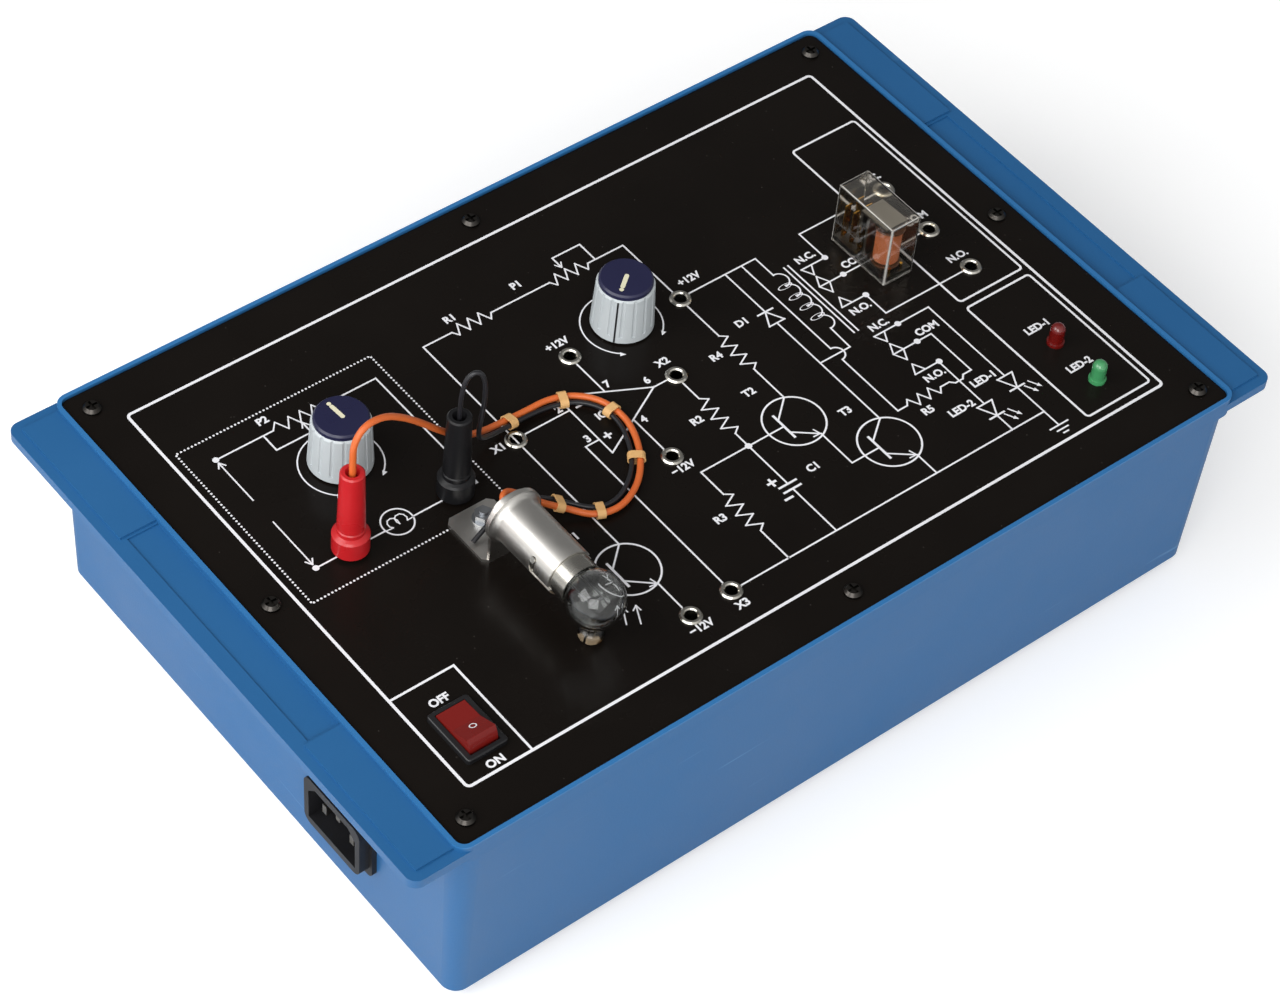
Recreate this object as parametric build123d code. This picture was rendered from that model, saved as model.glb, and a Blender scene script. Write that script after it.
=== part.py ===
from build123d import *
import os
from math import atan2, cos, degrees, pi, radians, sin, sqrt, tan

# A bench trainer: a moulded case with a black printed panel that carries a lamp over a
# phototransistor, two control knobs, patch sockets, a relay, two LEDs and a mains switch.
# Millimetres. X runs along the long side from the inlet end to the LED end, Y towards the
# back edge, Z up. The origin is on the table, in the middle under the feet.

# Case
FOOT_HEIGHT = 5.0
CASE_DEPTH = 77.0
CASE_DRAFT_DEG = 1.4
CASE_WALL = 2.6
CASE_FLOOR = 3.0
CASE_CORNER_R = 5.5
PANEL_LENGTH = 310.0
PANEL_WIDTH = 210.0
FLOOR_SHORTER_BY = 1.2
FLOOR_NARROWER_BY = 1.4
CASE_LENGTH_AT_FLOOR = PANEL_LENGTH - FLOOR_SHORTER_BY
CASE_WIDTH_AT_FLOOR = PANEL_WIDTH - FLOOR_NARROWER_BY
PANEL_THICKNESS = 3.0
PANEL_CORNER_R = 3.0
PANEL_GAP = 0.25
RIM_WALL = 1.45
RIM_HEIGHT = 1.0
BAND_HEIGHT = 7.5
SEAT_WIDTH = 4.5
SEAT_THICKNESS = 3.0
FLANGE_REACH = 16.7
FLANGE_THICKNESS = 3.5
FLANGE_DROP = 1.2
FLANGE_CORNER_R = 4.0
PLATEAU_RAISE = 0.8
PLATEAU_EDGE = 3.6
TRAY_SINK = 0.6
TRAY_EDGE = 5.5
TRAY_HALF_LENGTH = 48.3

# Fasteners
PANEL_SCREW_INSET_X = 7.2
PANEL_SCREW_INSET_Y = 7.8
PANEL_SCREW_SPAN_X = PANEL_LENGTH - 2 * PANEL_SCREW_INSET_X
PANEL_SCREW_SPAN_Y = PANEL_WIDTH - 2 * PANEL_SCREW_INSET_Y
SCREW_SHANK_R = 1.25
SCREW_PILOT_R = 1.35
SCREW_CLEARANCE_R = 1.6
SCREW_HEAD_R = 3.0
SCREW_HEAD_HEIGHT = 1.9
PANEL_SCREW_LENGTH = 12.0
BOSS_R = 4.0
RIB_THICKNESS = 2.4
FOOT_SPAN_X = 260.0
FOOT_SPAN_Y = 164.0
FOOT_TOP_R = 8.0
FOOT_BOTTOM_R = 7.0
FOOT_SCREW_LENGTH = 9.0

# Mains inlet, seated on the left wall
INLET_Y = -50.0
INLET_Z = 36.5
INLET_FLANGE = (1.8, 31.5, 25.5)
INLET_COLLAR = (3.6, 28.5, 22.5)
INLET_BODY = (16.0, 27.4, 19.9)
INLET_BODY_GAP = 0.3
INLET_CAVITY = (24.0, 16.5)
INLET_CAVITY_CHAMFER = 3.5
INLET_BACK_WALL = 5.0
PIN_WIDTH = 2.0
PIN_HEIGHT = 4.0
PIN_LENGTH = 14.0
PIN_SPACING = 14.0
PIN_LIVE_DROP = 1.5
PIN_EARTH_RISE = 2.5
TAB_LENGTH = 8.0

# Mains switch
SWITCH_X = -128.3
SWITCH_Y = -72.0
BEZEL_X = 15.0
BEZEL_Y = 21.0
BEZEL_THICKNESS = 2.0
HOUSING_X = 13.0
HOUSING_Y = 19.4
HOUSING_DEPTH = 17.0
HOUSING_FLOOR = 2.0
PANEL_CUT_GAP = 0.2
ROCKER_WIDTH = 10.4
ROCKER_SIDE_GAP = 0.35
ROCKER_HALF_LENGTH = 7.6
ROCKER_END_RISE = 4.6
ROCKER_DISH = 1.3
ROCKER_DEPTH = 5.0
ROCKER_END_GAP = 0.4
ROCKER_TILT_DEG = 14.0
ROCKER_PIVOT_DROP = 0.3
ROCKER_PIN_R = 1.2
ROCKER_PIN_LENGTH = 0.6
ROCKER_PIN_GAP = 0.05
SWITCH_TAB = (6.3, 0.8)
SWITCH_TAB_Y = 5.0

# Patch sockets for 4 mm plugs
SOCKET_FLANGE_R = 3.7
SOCKET_FLANGE_T = 1.0
SOCKET_BARREL_R = 3.0
SOCKET_BORE_R = 2.05
SOCKET_BORE_DEPTH = 17.0
SOCKET_BARREL_LENGTH = 18.5
SOCKET_TAIL_R = 0.8
SOCKET_TAIL_LENGTH = 4.0
SOCKET_NUT_R = 4.6
SOCKET_NUT_T = 2.2
HOLE_GAP = 0.12
LAMP_SOCKETS = ((-115.4, 4.4), (-75.6, 4.4))
BOARD_SOCKETS = (
    (-46.8, 11.2),
    (-46.8, -76.0),
    (-30.4, -75.4),
    (-10.7, -22.3),
    (12.3, 4.1),
    (124.2, 7.9),
    (124.2, -13.2),
    (124.2, 30.8),
)
FREE_SOCKETS = ((-10.7, 30.0), (34.9, 29.9))

# Control knobs and their potentiometers
SENSITIVITY_XY = (12.8, 32.8)
INTENSITY_XY = (-96.8, 35.6)
SENSITIVITY_POINTER_DEG = 217
INTENSITY_POINTER_DEG = 94
KNOB_BASE_R = 10.5
KNOB_TOP_R = 9.6
KNOB_LIFT = 0.8
KNOB_BODY_HEIGHT = 18.0
KNOB_WALL = 1.6
KNOB_ROOF = 2.0
KNOB_GROOVES = 16
KNOB_GROOVE_R = 0.7
KNOB_GROOVE_OUT = 0.3
KNOB_PLAIN_BAND = 2.2
KNOB_HUB_R = 4.6
CAP_R = 8.95
CAP_HEIGHT = 2.0
CAP_GAP = 0.05
SHAFT_R = 3.0
SHAFT_GAP = 0.05
SHAFT_TOP = 15.0
BUSH_RISE = 6.5
POT_WALL = 1.5
WIPER_R = 7.0
WIPER_T = 1.5
POT_TERMINAL = (1.8, 7.0, 0.8)
POT_TERMINAL_SPACING = 5.0
SENSITIVITY_BUSH_WALL = 0.45
INTENSITY_BUSH_WALL = 1.55
SENSITIVITY_POT = (12.0, 11.0, SHAFT_R + SHAFT_GAP + SENSITIVITY_BUSH_WALL)
INTENSITY_POT = (14.5, 15.0, SHAFT_R + SHAFT_GAP + INTENSITY_BUSH_WALL)
POT_NUT_T = 2.0
POT_NUT_EXTRA_R = 2.4

# LEDs
LED_XY = ((124.0, -54.8), (124.0, -74.8))
LED_R = 2.5
LED_FLANGE_R = 2.95
LED_FLANGE_T = 1.0
LED_HEIGHT = 8.6
LED_LEAD = 0.5
LED_LEAD_SPACING = 2.54
LED_HOLE_R = 2.1

# Phototransistor
SENSOR_XY = (-76.5, -64.8)
SENSOR_BASE_R = 4.2
SENSOR_BASE_HEIGHT = 4.6
SENSOR_NECK_R = 2.4
SENSOR_HEIGHT = 7.6
SENSOR_LEAD_LENGTH = 9.0
SENSOR_LEAD = 0.5
SENSOR_LEAD_HALF_SPACING = 1.27
SENSOR_LEAD_RISE = 3.5

# Lamp, its holder and bracket. The lamp's axis is level and points to the front.
LAMP_X = -76.6
LAMP_AXIS_RISE = 18.0
BRACKET_T = 1.2
BRACKET_BACK_Y = -23.0
BRACKET_PLATE_WIDTH = 15.0
BRACKET_PLATE_TOP = 26.5
BRACKET_FOOT_X = (-85.7, -67.9)
BRACKET_FOOT_BACK_Y = -3.5
BRACKET_CORNER = 1.8
BRACKET_WIRE_HOLE_R = 5.0
BRACKET_SCREW_XY = (-75.4, -9.6)
BOLT_R = 1.45
BOLT_HOLE_R = 1.6
BOLT_NUT_R = 3.1
BOLT_NUT_T = 2.4
BOLT_STUB = 1.2
BOLT_HEAD_R = 2.8
BOLT_HEAD_HEIGHT = 1.8
WASHER_R = 3.6
WASHER_T = 0.5
HOLDER_R = 8.2
HOLDER_WALL = 0.6
HOLDER_LENGTH = 28.4
COLLAR_WIDTH = 1.8
COLLAR_R = HOLDER_R + COLLAR_WIDTH
COLLAR_T = 1.6
COLLAR_FLARE = 2.4
SLOT_WIDTH = 2.3
SLOT_REST_DEG = 157.0
SLOT_TURN_DEG = 40.0
BULB_PIN_FROM_CONTACT = 7.2
BULB_PIN_R = 1.0
BULB_PIN_PROUD = 0.5
BULB_PIN_REACH = HOLDER_R + BULB_PIN_PROUD
INSULATOR_T = 2.0
INSULATOR_GAP = 0.15
PLUNGER_R = 2.0
SPRING_WIRE_R = 0.3
SPRING_R = 3.2
SPRING_TURNS = 4
SPRING_PITCH = 1.6
CAP_BULB_GAP = 0.1
CAP_BULB_R = HOLDER_R - HOLDER_WALL - CAP_BULB_GAP
CAP_BULB_WALL = 0.4
CAP_BULB_LIP = 0.2
GLOBE_R = 9.5
GLOBE_CENTRE = 41.1
GLASS_WALL = 0.7
BULB_CONTACT_BACK = 13.1
FILAMENT_POST_R = 0.3
FILAMENT_HALF = 2.4
FILAMENT_COIL_R = 0.45
FILAMENT_RISE = 1.0
CEMENT_GAP = 0.2
STEM_R = 3.2
STEM_FLOOR = 1.2
STEM_LENGTH = 8.0
STEM_TAIL = 2.0

# Lamp plugs
PLUG_COLLAR_R = 6.0
PLUG_COLLAR_HEIGHT = 8.5
PLUG_BODY_R = 4.5
PLUG_TOP_R = 3.9
PLUG_HEIGHT = 35.5
PLUG_GROOVE_RISE = 11.0
PLUG_GROOVE = 0.4
PLUG_PIN_GAP = 0.1
PLUG_PIN_R = SOCKET_BORE_R - PLUG_PIN_GAP
PLUG_PIN_LENGTH = 14.0
PLUG_BORE_DEPTH = 3.0

# Lamp leads. Points are X, Y and the height of the wire's centre over the panel.
ORANGE_R = 1.1
BLACK_R = 0.8
ORANGE_ROUTE = (
    (-115.4, 4.4, 32.5),
    (-115.4, 4.4, 40.5),
    (-115.2, 4.5, 47.6),
    (-111.0, 5.0, 52.6),
    (-103.4, 5.6, 51.6),
    (-95.8, 6.2, 45.8),
    (-88.2, 7.2, 37.8),
    (-80.6, 8.8, 28.5),
    (-72.6, 10.8, 19.5),
    (-64.6, 13.4, 11.6),
    (-56.2, 16.0, 6.0),
    (-47.0, 17.6, 3.2),
    (-38.0, 17.9, 2.2),
    (-28.6, 18.1, 2.0),
    (-20.4, 14.6, 2.0),
    (-15.0, 7.8, 2.0),
    (-13.4, -1.2, 2.0),
    (-15.6, -10.2, 2.0),
    (-21.0, -19.6, 2.0),
    (-28.6, -27.0, 2.0),
    (-38.4, -31.0, 2.0),
    (-47.2, -28.8, 2.1),
    (-52.8, -22.6, 3.3),
    (-58.4, -20.6, 6.8),
    (-63.8, -19.4, 11.4),
    (-68.8, -17.6, 16.0),
    (-72.6, -16.6, 18.8),
    (-75.4, -17.8, 19.7),
    (-76.6, -20.4, 18.0),
    (-76.6, -22.7, 18.0),
)
BLACK_ROUTE = (
    (-75.6, 4.4, 32.5),
    (-75.6, 4.4, 38.0),
    (-75.6, 4.1, 44.4),
    (-75.2, 3.7, 49.2),
    (-74.2, 3.2, 52.6),
    (-72.4, 2.4, 54.4),
    (-70.6, 1.7, 53.8),
    (-69.4, 1.2, 50.8),
    (-68.9, 1.0, 46.0),
    (-68.8, 1.4, 39.0),
    (-68.5, 2.8, 31.0),
    (-67.4, 5.0, 22.6),
    (-64.2, 8.2, 14.6),
    (-58.4, 11.9, 8.2),
    (-51.2, 14.3, 4.4),
    (-43.6, 15.5, 2.8),
    (-36.0, 15.8, 2.1),
    (-28.4, 14.9, 1.9),
    (-21.3, 11.8, 1.9),
    (-17.0, 5.7, 1.9),
    (-16.1, -1.6, 1.9),
    (-18.3, -9.2, 1.9),
    (-22.8, -17.5, 1.9),
    (-29.8, -24.2, 1.9),
    (-38.2, -28.0, 1.9),
    (-45.4, -26.4, 1.9),
    (-50.6, -20.2, 2.4),
    (-56.0, -16.0, 4.4),
    (-62.8, -14.4, 7.2),
    (-69.8, -14.0, 8.2),
    (-76.2, -15.0, 6.4),
    (-81.0, -15.6, 3.9),
    (-84.4, -16.2, 2.3),
)
TIE_SPOTS = (
    (-46.0, 17.3),
    (-24.9, 16.4),
    (-13.9, 3.4),
    (-20.8, -17.8),
    (-44.5, -28.9),
    (-54.8, -21.0),
)
TIE_THICKNESS = 0.4
TIE_WIDTH = 2.8
TIE_GAP = 0.3

# Relay
RELAY_XY = (100.3, 9.9)
RELAY_X = 12.7
RELAY_Y = 26.8
RELAY_HEIGHT = 25.3
RELAY_WALL = 0.8
RELAY_BASE_T = 2.2
RELAY_STANDOFF = 0.4
COIL_Y = 3.6
COIL_CORE_R = 1.8
COIL_INNER_R = 3.4
COIL_WIRE_R = 0.27
COIL_TURNS = 14
COIL_PITCH = 0.96
COIL_CHEEK_R = 4.7
COIL_CHEEK_T = 0.7
YOKE_T = 1.2
YOKE_WIDTH = 8.6
ARMATURE_T = 1.0
ARMATURE_TURN_DEG = 3.5
CONTACT_SPACING = 5.0
CONTACT_BLADE = (2.6, 0.3)
CONTACT_HEIGHTS = (10.4, 13.5, 13.5)
CONTACT_ROWS_FROM_BACK = (10.5, 6.5, 2.5)
COIL_PIN_FORWARD = 4.6
CARD_T = 1.0
CARD_DROP = 6.0
ARMATURE_OVERHANG = 3.0
ARMATURE_LIFT = 0.06
RELAY_PIN_LENGTH = 11.0
RELAY_PIN_R = 0.5
RELAY_HOLE_R = 1.2

# Boards, transformer and supply parts inside the case
BOARD_T = 1.6
BOARD_DROP = 6.0
BOARD_MAIN = (-53.0, 132.0, -83.0, 18.0)
BOARD_WING = (64.0, 132.0, 18.0, 40.0)
SPACER_SOCKETS = (0, 2, 5, 6)
SPACER_R = 4.2
CHIP_XY = (-15.0, -6.0)
CHIP_SIZE = (9.8, 6.4, 3.4)
CHIP_PITCH = 2.54
CANS = ((31.0, -32.0, 2.4, 5.2), (50.0, -56.0, 4.2, 6.5))
RESISTORS = ((-28, 12, 0), (12, -17, 90), (-7, -52, 90), (35, 0, 90), (72, -48, 0), (54, 6, 90))
RESISTOR_SIZE = (1.2, 6.4)
CORE_XYZ = (66.0, 56.0, 44.0)
CORE_AT = (-70.0, 50.0)
CORE_LIMB = 11.0
CORE_FOOT = (88.0, 22.0, 2.0)
CORE_BOLT_SPAN = 78.0
SUPPLY_BOARD = (110.0, 70.0)
SUPPLY_AT = (60.0, 45.0)
PILLAR_R = 3.5
PILLAR_HEIGHT = 6.0
PILLAR_INSET = 5.0
CAPACITOR_R = 8.0
CAPACITOR_HEIGHT = 26.0
CAPACITOR_SHIFTS = (-30, -8)
FIN = (1.2, 24.0, 22.0)
FIN_SHIFTS = (18, 36)
DIODE_SIZE = (1.4, 5.2)
DIODE_SPACING = 6.0

# Heights that follow
CASE_BOTTOM = FOOT_HEIGHT
PANEL_TOP = CASE_BOTTOM + CASE_DEPTH
PANEL_UNDER = PANEL_TOP - PANEL_THICKNESS
FLOOR_TOP = CASE_BOTTOM + CASE_FLOOR
RIM_TOP = PANEL_TOP + RIM_HEIGHT
RECESS_X = PANEL_LENGTH + 2 * PANEL_GAP
RECESS_Y = PANEL_WIDTH + 2 * PANEL_GAP
RIM_X = RECESS_X + 2 * RIM_WALL
RIM_Y = RECESS_Y + 2 * RIM_WALL
FLANGE_TOP = PANEL_TOP - FLANGE_DROP
BOARD_TOP = PANEL_UNDER - BOARD_DROP
BOARD_UNDER = BOARD_TOP - BOARD_T
LAMP_Z = PANEL_TOP + LAMP_AXIS_RISE
SEAM_Y = BRACKET_BACK_Y - BRACKET_T


def block(x0, x1, y0, y1, z0, z1):
    """A box between two corners."""
    centre = Pos((x0 + x1) / 2, (y0 + y1) / 2, (z0 + z1) / 2)
    return centre * Box(x1 - x0, y1 - y0, z1 - z0)


def slab(length, width, z0, z1, radius):
    """A level plate with rounded corners, centred on the origin."""
    return extrude(Pos(0, 0, z0) * RectangleRounded(length, width, radius), z1 - z0)


def rod(x, y, z0, z1, radius):
    """An upright cylinder."""
    return Pos(x, y, (z0 + z1) / 2) * Cylinder(radius, z1 - z0)


def tube(x, y, z0, z1, outer, inner):
    """An upright tube."""
    return rod(x, y, z0, z1, outer) - rod(x, y, z0 - 1, z1 + 1, inner)


def hexagon(x, y, z0, z1, corner_r, bore_r):
    """A hexagon nut."""
    nut = extrude(Pos(x, y, z0) * RegularPolygon(corner_r, 6), z1 - z0)
    return nut - rod(x, y, z0 - 1, z1 + 1, bore_r)


def turned(points, x, y, z):
    """A turned piece from a half section of (radius, height) points, set upright at x, y, z."""
    section = make_face(Polyline(*[(r, 0, h) for r, h in points], close=True))
    return Pos(x, y, z) * revolve(section, Axis.Z)


def lying(piece):
    """Stands an upright piece down along the lamp's axis, its foot at the holder's seam."""
    return Pos(LAMP_X, SEAM_Y, LAMP_Z) * Rot(90, 0, 0) * piece


def save(name, *solids):
    """Writes one node. Several solids stay separate."""
    whole = solids[0] if len(solids) == 1 else Compound(children=list(solids))
    export_step(whole, f"parts/{name}.step")


def fillet_radii(points):
    """Bend radii that leave every run its straight middle."""
    radii = []
    for before, at, after in zip(points, points[1:], points[2:]):
        run_in = Vector(*at) - Vector(*before)
        run_out = Vector(*after) - Vector(*at)
        half_turn = radians(run_in.get_angle(run_out)) / 2
        radii.append(0.45 * min(run_in.length, run_out.length) / tan(half_turn))
    return radii


def route_points(route):
    return [(x, y, PANEL_TOP + z) for x, y, z in route]


def lead_path(route):
    """The wire's centre line, in straight runs joined by tangent arcs."""
    points = route_points(route)
    return FilletPolyline(*points, radius=fillet_radii(points))


def lead(name, route, radius):
    """A round wire along its route."""
    path = lead_path(route)
    wire = sweep((path ^ 0) * Circle(radius), path=path)
    ratio = wire.volume / (pi * radius**2 * path.length)
    print(name, "radii", [round(r, 1) for r in fillet_radii(route_points(route))])
    print(name, "length", round(path.length, 1), "volume over section times length", round(ratio, 4))
    return wire


def coil_path(radius, pitch, turns):
    """A helix made of two tangent arcs for each half turn."""
    arcs = []
    climb = pitch / (2 * pi * radius)

    def place(angle):
        return Vector(radius * cos(angle), radius * sin(angle), pitch * angle / (2 * pi))

    def heading(angle):
        return Vector(-sin(angle), cos(angle), climb).normalized()

    for half in range(2 * turns):
        start, end = half * pi, (half + 1) * pi
        a, b = place(start), place(end)
        ta, tb = heading(start), heading(end)
        chord, both = b - a, ta + tb
        square = both.dot(both) - 4
        reach = (chord.dot(both) - sqrt(chord.dot(both) ** 2 - square * chord.dot(chord))) / square
        middle = (a + ta * reach + b - tb * reach) * 0.5
        first = TangentArc(a, middle, tangent=ta)
        arcs += [first, TangentArc(middle, b, tangent=first % 1)]
    return Wire(arcs)


def wound(name, radius, pitch, turns, wire_r):
    """A round wire wound as a helix, with its least gap printed."""
    path = coil_path(radius, pitch, turns)
    steps = 24 * turns
    points = [path @ (i / steps) for i in range(steps + 1)]
    apart = 12
    gap = min((points[i] - points[j]).length for i in range(steps) for j in range(i + apart, steps + 1))
    print(name, "least gap", round(gap - 2 * wire_r, 2))
    return sweep((path ^ 0) * Circle(wire_r), path=path)


def panel_screw_places():
    """Four corners and the middle of each side."""
    x, y = PANEL_SCREW_SPAN_X / 2, PANEL_SCREW_SPAN_Y / 2
    return [(i * x, j * y) for i in (-1, 0, 1) for j in (-1, 0, 1) if i or j]


def foot_places():
    x, y = FOOT_SPAN_X / 2, FOOT_SPAN_Y / 2
    return [(i * x, j * y) for i in (-1, 1) for j in (-1, 1)]


def all_sockets():
    return LAMP_SOCKETS + BOARD_SOCKETS + FREE_SOCKETS


def wall_half(span, z):
    """Half the case's outer size at a height, draft included."""
    return span / 2 + (z - CASE_BOTTOM) * tan(radians(CASE_DRAFT_DEG))


def case_tub():
    height = PANEL_UNDER - CASE_BOTTOM
    length, width = CASE_LENGTH_AT_FLOOR, CASE_WIDTH_AT_FLOOR
    outline = Pos(0, 0, CASE_BOTTOM) * RectangleRounded(length, width, CASE_CORNER_R)
    tub = extrude(outline, height, taper=-CASE_DRAFT_DEG)
    tub += slab(RIM_X, RIM_Y, RIM_TOP - BAND_HEIGHT, RIM_TOP, PANEL_CORNER_R + PANEL_GAP + RIM_WALL)
    flange_x = RIM_X + 2 * FLANGE_REACH
    tub += slab(flange_x, RIM_Y, FLANGE_TOP - FLANGE_THICKNESS, FLANGE_TOP, FLANGE_CORNER_R)
    for side in (-1, 1):
        inner, outer = side * RIM_X / 2, side * (flange_x / 2 - PLATEAU_EDGE)
        tray = side * (flange_x / 2 - TRAY_EDGE)
        low, high = sorted((inner - side, outer))
        for end in (-1, 1):
            near, far = end * TRAY_HALF_LENGTH, end * (RIM_Y / 2 - PLATEAU_EDGE)
            y0, y1 = sorted((near, far))
            tub += block(low, high, y0, y1, FLANGE_TOP - 1, FLANGE_TOP + PLATEAU_RAISE)
        low, high = sorted((inner, tray))
        half = TRAY_HALF_LENGTH - 1
        tub -= block(low, high, -half, half, FLANGE_TOP - TRAY_SINK, FLANGE_TOP + 1)
    room = Pos(0, 0, FLOOR_TOP) * RectangleRounded(
        length - 2 * CASE_WALL, width - 2 * CASE_WALL, CASE_CORNER_R - CASE_WALL
    )
    tub -= extrude(room, RIM_TOP - FLOOR_TOP, taper=-CASE_DRAFT_DEG)
    tub += seat()
    for x, y in panel_screw_places():
        tub += panel_boss(x, y)
    tub -= slab(RECESS_X, RECESS_Y, PANEL_UNDER, RIM_TOP + 1, PANEL_CORNER_R + PANEL_GAP)
    for x, y in panel_screw_places():
        tub -= rod(x, y, PANEL_UNDER - PANEL_SCREW_LENGTH - 1, PANEL_UNDER + 1, SCREW_PILOT_R)
    for x, y in floor_pillar_places():
        tub += rod(x, y, FLOOR_TOP - 1, FLOOR_TOP + PILLAR_HEIGHT, PILLAR_R)
        tub -= rod(x, y, FLOOR_TOP + 1, FLOOR_TOP + PILLAR_HEIGHT + 1, SCREW_PILOT_R)
    for x, y in foot_places():
        tub += rod(x, y, FLOOR_TOP - 1, FLOOR_TOP + FOOT_SCREW_LENGTH, BOSS_R)
        tub -= rod(x, y, CASE_BOTTOM - 1, CASE_BOTTOM + FOOT_SCREW_LENGTH, SCREW_PILOT_R)
    for x, y in core_bolt_places():
        tub += rod(x, y, FLOOR_TOP - 1, FLOOR_TOP + PILLAR_HEIGHT, PILLAR_R + 1)
        tub -= rod(x, y, FLOOR_TOP + 1, FLOOR_TOP + PILLAR_HEIGHT + 1, SCREW_PILOT_R)
    return tub - on_left_wall(inlet_cutout())


def seat():
    """The ledge that the panel lies on."""
    outer = slab(RECESS_X, RECESS_Y, PANEL_UNDER - SEAT_THICKNESS, PANEL_UNDER, PANEL_CORNER_R)
    hole_x, hole_y = PANEL_LENGTH - 2 * SEAT_WIDTH, PANEL_WIDTH - 2 * SEAT_WIDTH
    return outer - slab(hole_x, hole_y, FLOOR_TOP, PANEL_TOP, PANEL_CORNER_R)


def panel_boss(x, y):
    """A full-height screw boss with ribs to the nearest walls."""
    boss = rod(x, y, FLOOR_TOP - 1, PANEL_UNDER, BOSS_R)
    half = RIB_THICKNESS / 2
    top = PANEL_UNDER
    if x:
        wall = (wall_half(CASE_LENGTH_AT_FLOOR, FLOOR_TOP) - 1) * (1 if x > 0 else -1)
        low, high = sorted((x, wall))
        boss += block(low, high, y - half, y + half, FLOOR_TOP - 1, top)
    if y:
        wall = (wall_half(CASE_WIDTH_AT_FLOOR, FLOOR_TOP) - 1) * (1 if y > 0 else -1)
        low, high = sorted((y, wall))
        boss += block(x - half, x + half, low, high, FLOOR_TOP - 1, top)
    return boss


def face_panel():
    panel = slab(PANEL_LENGTH, PANEL_WIDTH, PANEL_UNDER, PANEL_TOP, PANEL_CORNER_R)
    low, high = PANEL_UNDER - 1, PANEL_TOP + 1
    for x, y in panel_screw_places():
        panel -= rod(x, y, low, high, SCREW_CLEARANCE_R)
    for x, y in all_sockets():
        panel -= rod(x, y, low, high, SOCKET_BARREL_R + HOLE_GAP)
    for (x, y), pot in ((SENSITIVITY_XY, SENSITIVITY_POT), (INTENSITY_XY, INTENSITY_POT)):
        panel -= rod(x, y, low, high, pot[2] + HOLE_GAP)
    for x, y in LED_XY + (SENSOR_XY,):
        panel -= rod(x, y, low, high, LED_HOLE_R)
    panel -= rod(*BRACKET_SCREW_XY, low, high, BOLT_HOLE_R)
    cut_x, cut_y = HOUSING_X + 2 * PANEL_CUT_GAP, HOUSING_Y + 2 * PANEL_CUT_GAP
    panel -= Pos(SWITCH_X, SWITCH_Y, PANEL_UNDER) * Box(cut_x, cut_y, 3 * PANEL_THICKNESS)
    for x, y in relay_pin_places():
        panel -= rod(x, y, low, high, RELAY_HOLE_R)
    return panel


def cross_head(radius, height):
    """A pan head with a cross recess, standing on z = 0."""
    edge = 0.45 * height
    head = turned([(0, 0), (radius, 0), (radius, edge), (0.7 * radius, height), (0, height)], 0, 0, 0)
    arm, width = 1.3 * radius, 0.28 * radius
    depth = Pos(0, 0, height) * Box(arm, width, height)
    return head - depth - Rot(0, 0, 90) * depth


def screw(length):
    """A pan head screw hanging from z = 0."""
    return cross_head(SCREW_HEAD_R, SCREW_HEAD_HEIGHT) + rod(0, 0, -length, 0.1, SCREW_SHANK_R)


def panel_screws():
    one = screw(PANEL_THICKNESS + PANEL_SCREW_LENGTH - 1)
    return [Pos(x, y, PANEL_TOP) * one for x, y in panel_screw_places()]


def rubber_feet():
    recess_r = SCREW_HEAD_R + 0.4
    pocket = SCREW_HEAD_HEIGHT + 0.6
    profile = [
        (SCREW_CLEARANCE_R, pocket),
        (recess_r, pocket),
        (recess_r, 0),
        (FOOT_BOTTOM_R, 0),
        (FOOT_TOP_R, FOOT_HEIGHT),
        (SCREW_CLEARANCE_R, FOOT_HEIGHT),
    ]
    return [turned(profile, x, y, 0) for x, y in foot_places()]


def foot_screws():
    seat_z = SCREW_HEAD_HEIGHT + 0.6
    length = CASE_BOTTOM + FOOT_SCREW_LENGTH - seat_z - 1
    return [Pos(x, y, seat_z) * Rot(180, 0, 0) * screw(length) for x, y in foot_places()]


def on_left_wall(piece):
    """Turns a piece built against the plane X = 0, facing -X, onto the drafted left wall."""
    x = -wall_half(CASE_LENGTH_AT_FLOOR, INLET_Z)
    return Pos(x, INLET_Y, INLET_Z) * Rot(0, -CASE_DRAFT_DEG, 0) * piece


def inlet_cutout():
    _, y, z = INLET_BODY
    return Box(30, y + 2 * INLET_BODY_GAP, z + 2 * INLET_BODY_GAP)


def inlet_plate(size, radius, x0, x1):
    """A rounded plate square to X."""
    outline = Plane((x0, 0, 0), x_dir=(0, 1, 0), z_dir=(1, 0, 0)) * RectangleRounded(*size, radius)
    return extrude(outline, x1 - x0)


def inlet_cavity():
    half_y, half_z = INLET_CAVITY[0] / 2, INLET_CAVITY[1] / 2
    cut = INLET_CAVITY_CHAMFER
    outline = Polyline(
        (-half_y, -half_z),
        (half_y, -half_z),
        (half_y, half_z - cut),
        (half_y - cut, half_z),
        (cut - half_y, half_z),
        (-half_y, half_z - cut),
        close=True,
    )
    front = -(INLET_FLANGE[0] + INLET_COLLAR[0]) - 1
    back = INLET_BODY[0] - INLET_BACK_WALL
    face = Plane((front, 0, 0), x_dir=(0, 1, 0), z_dir=(1, 0, 0)) * make_face(outline)
    return extrude(face, back - front)


def inlet_pins():
    back = INLET_BODY[0] + TAB_LENGTH
    front = INLET_BODY[0] - INLET_BACK_WALL - PIN_LENGTH
    half = PIN_WIDTH / 2
    places = ((-PIN_SPACING / 2, -PIN_LIVE_DROP), (0, PIN_EARTH_RISE), (PIN_SPACING / 2, -PIN_LIVE_DROP))
    tall = PIN_HEIGHT / 2
    return [block(front, back, y - half, y + half, z - tall, z + tall) for y, z in places]


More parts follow.
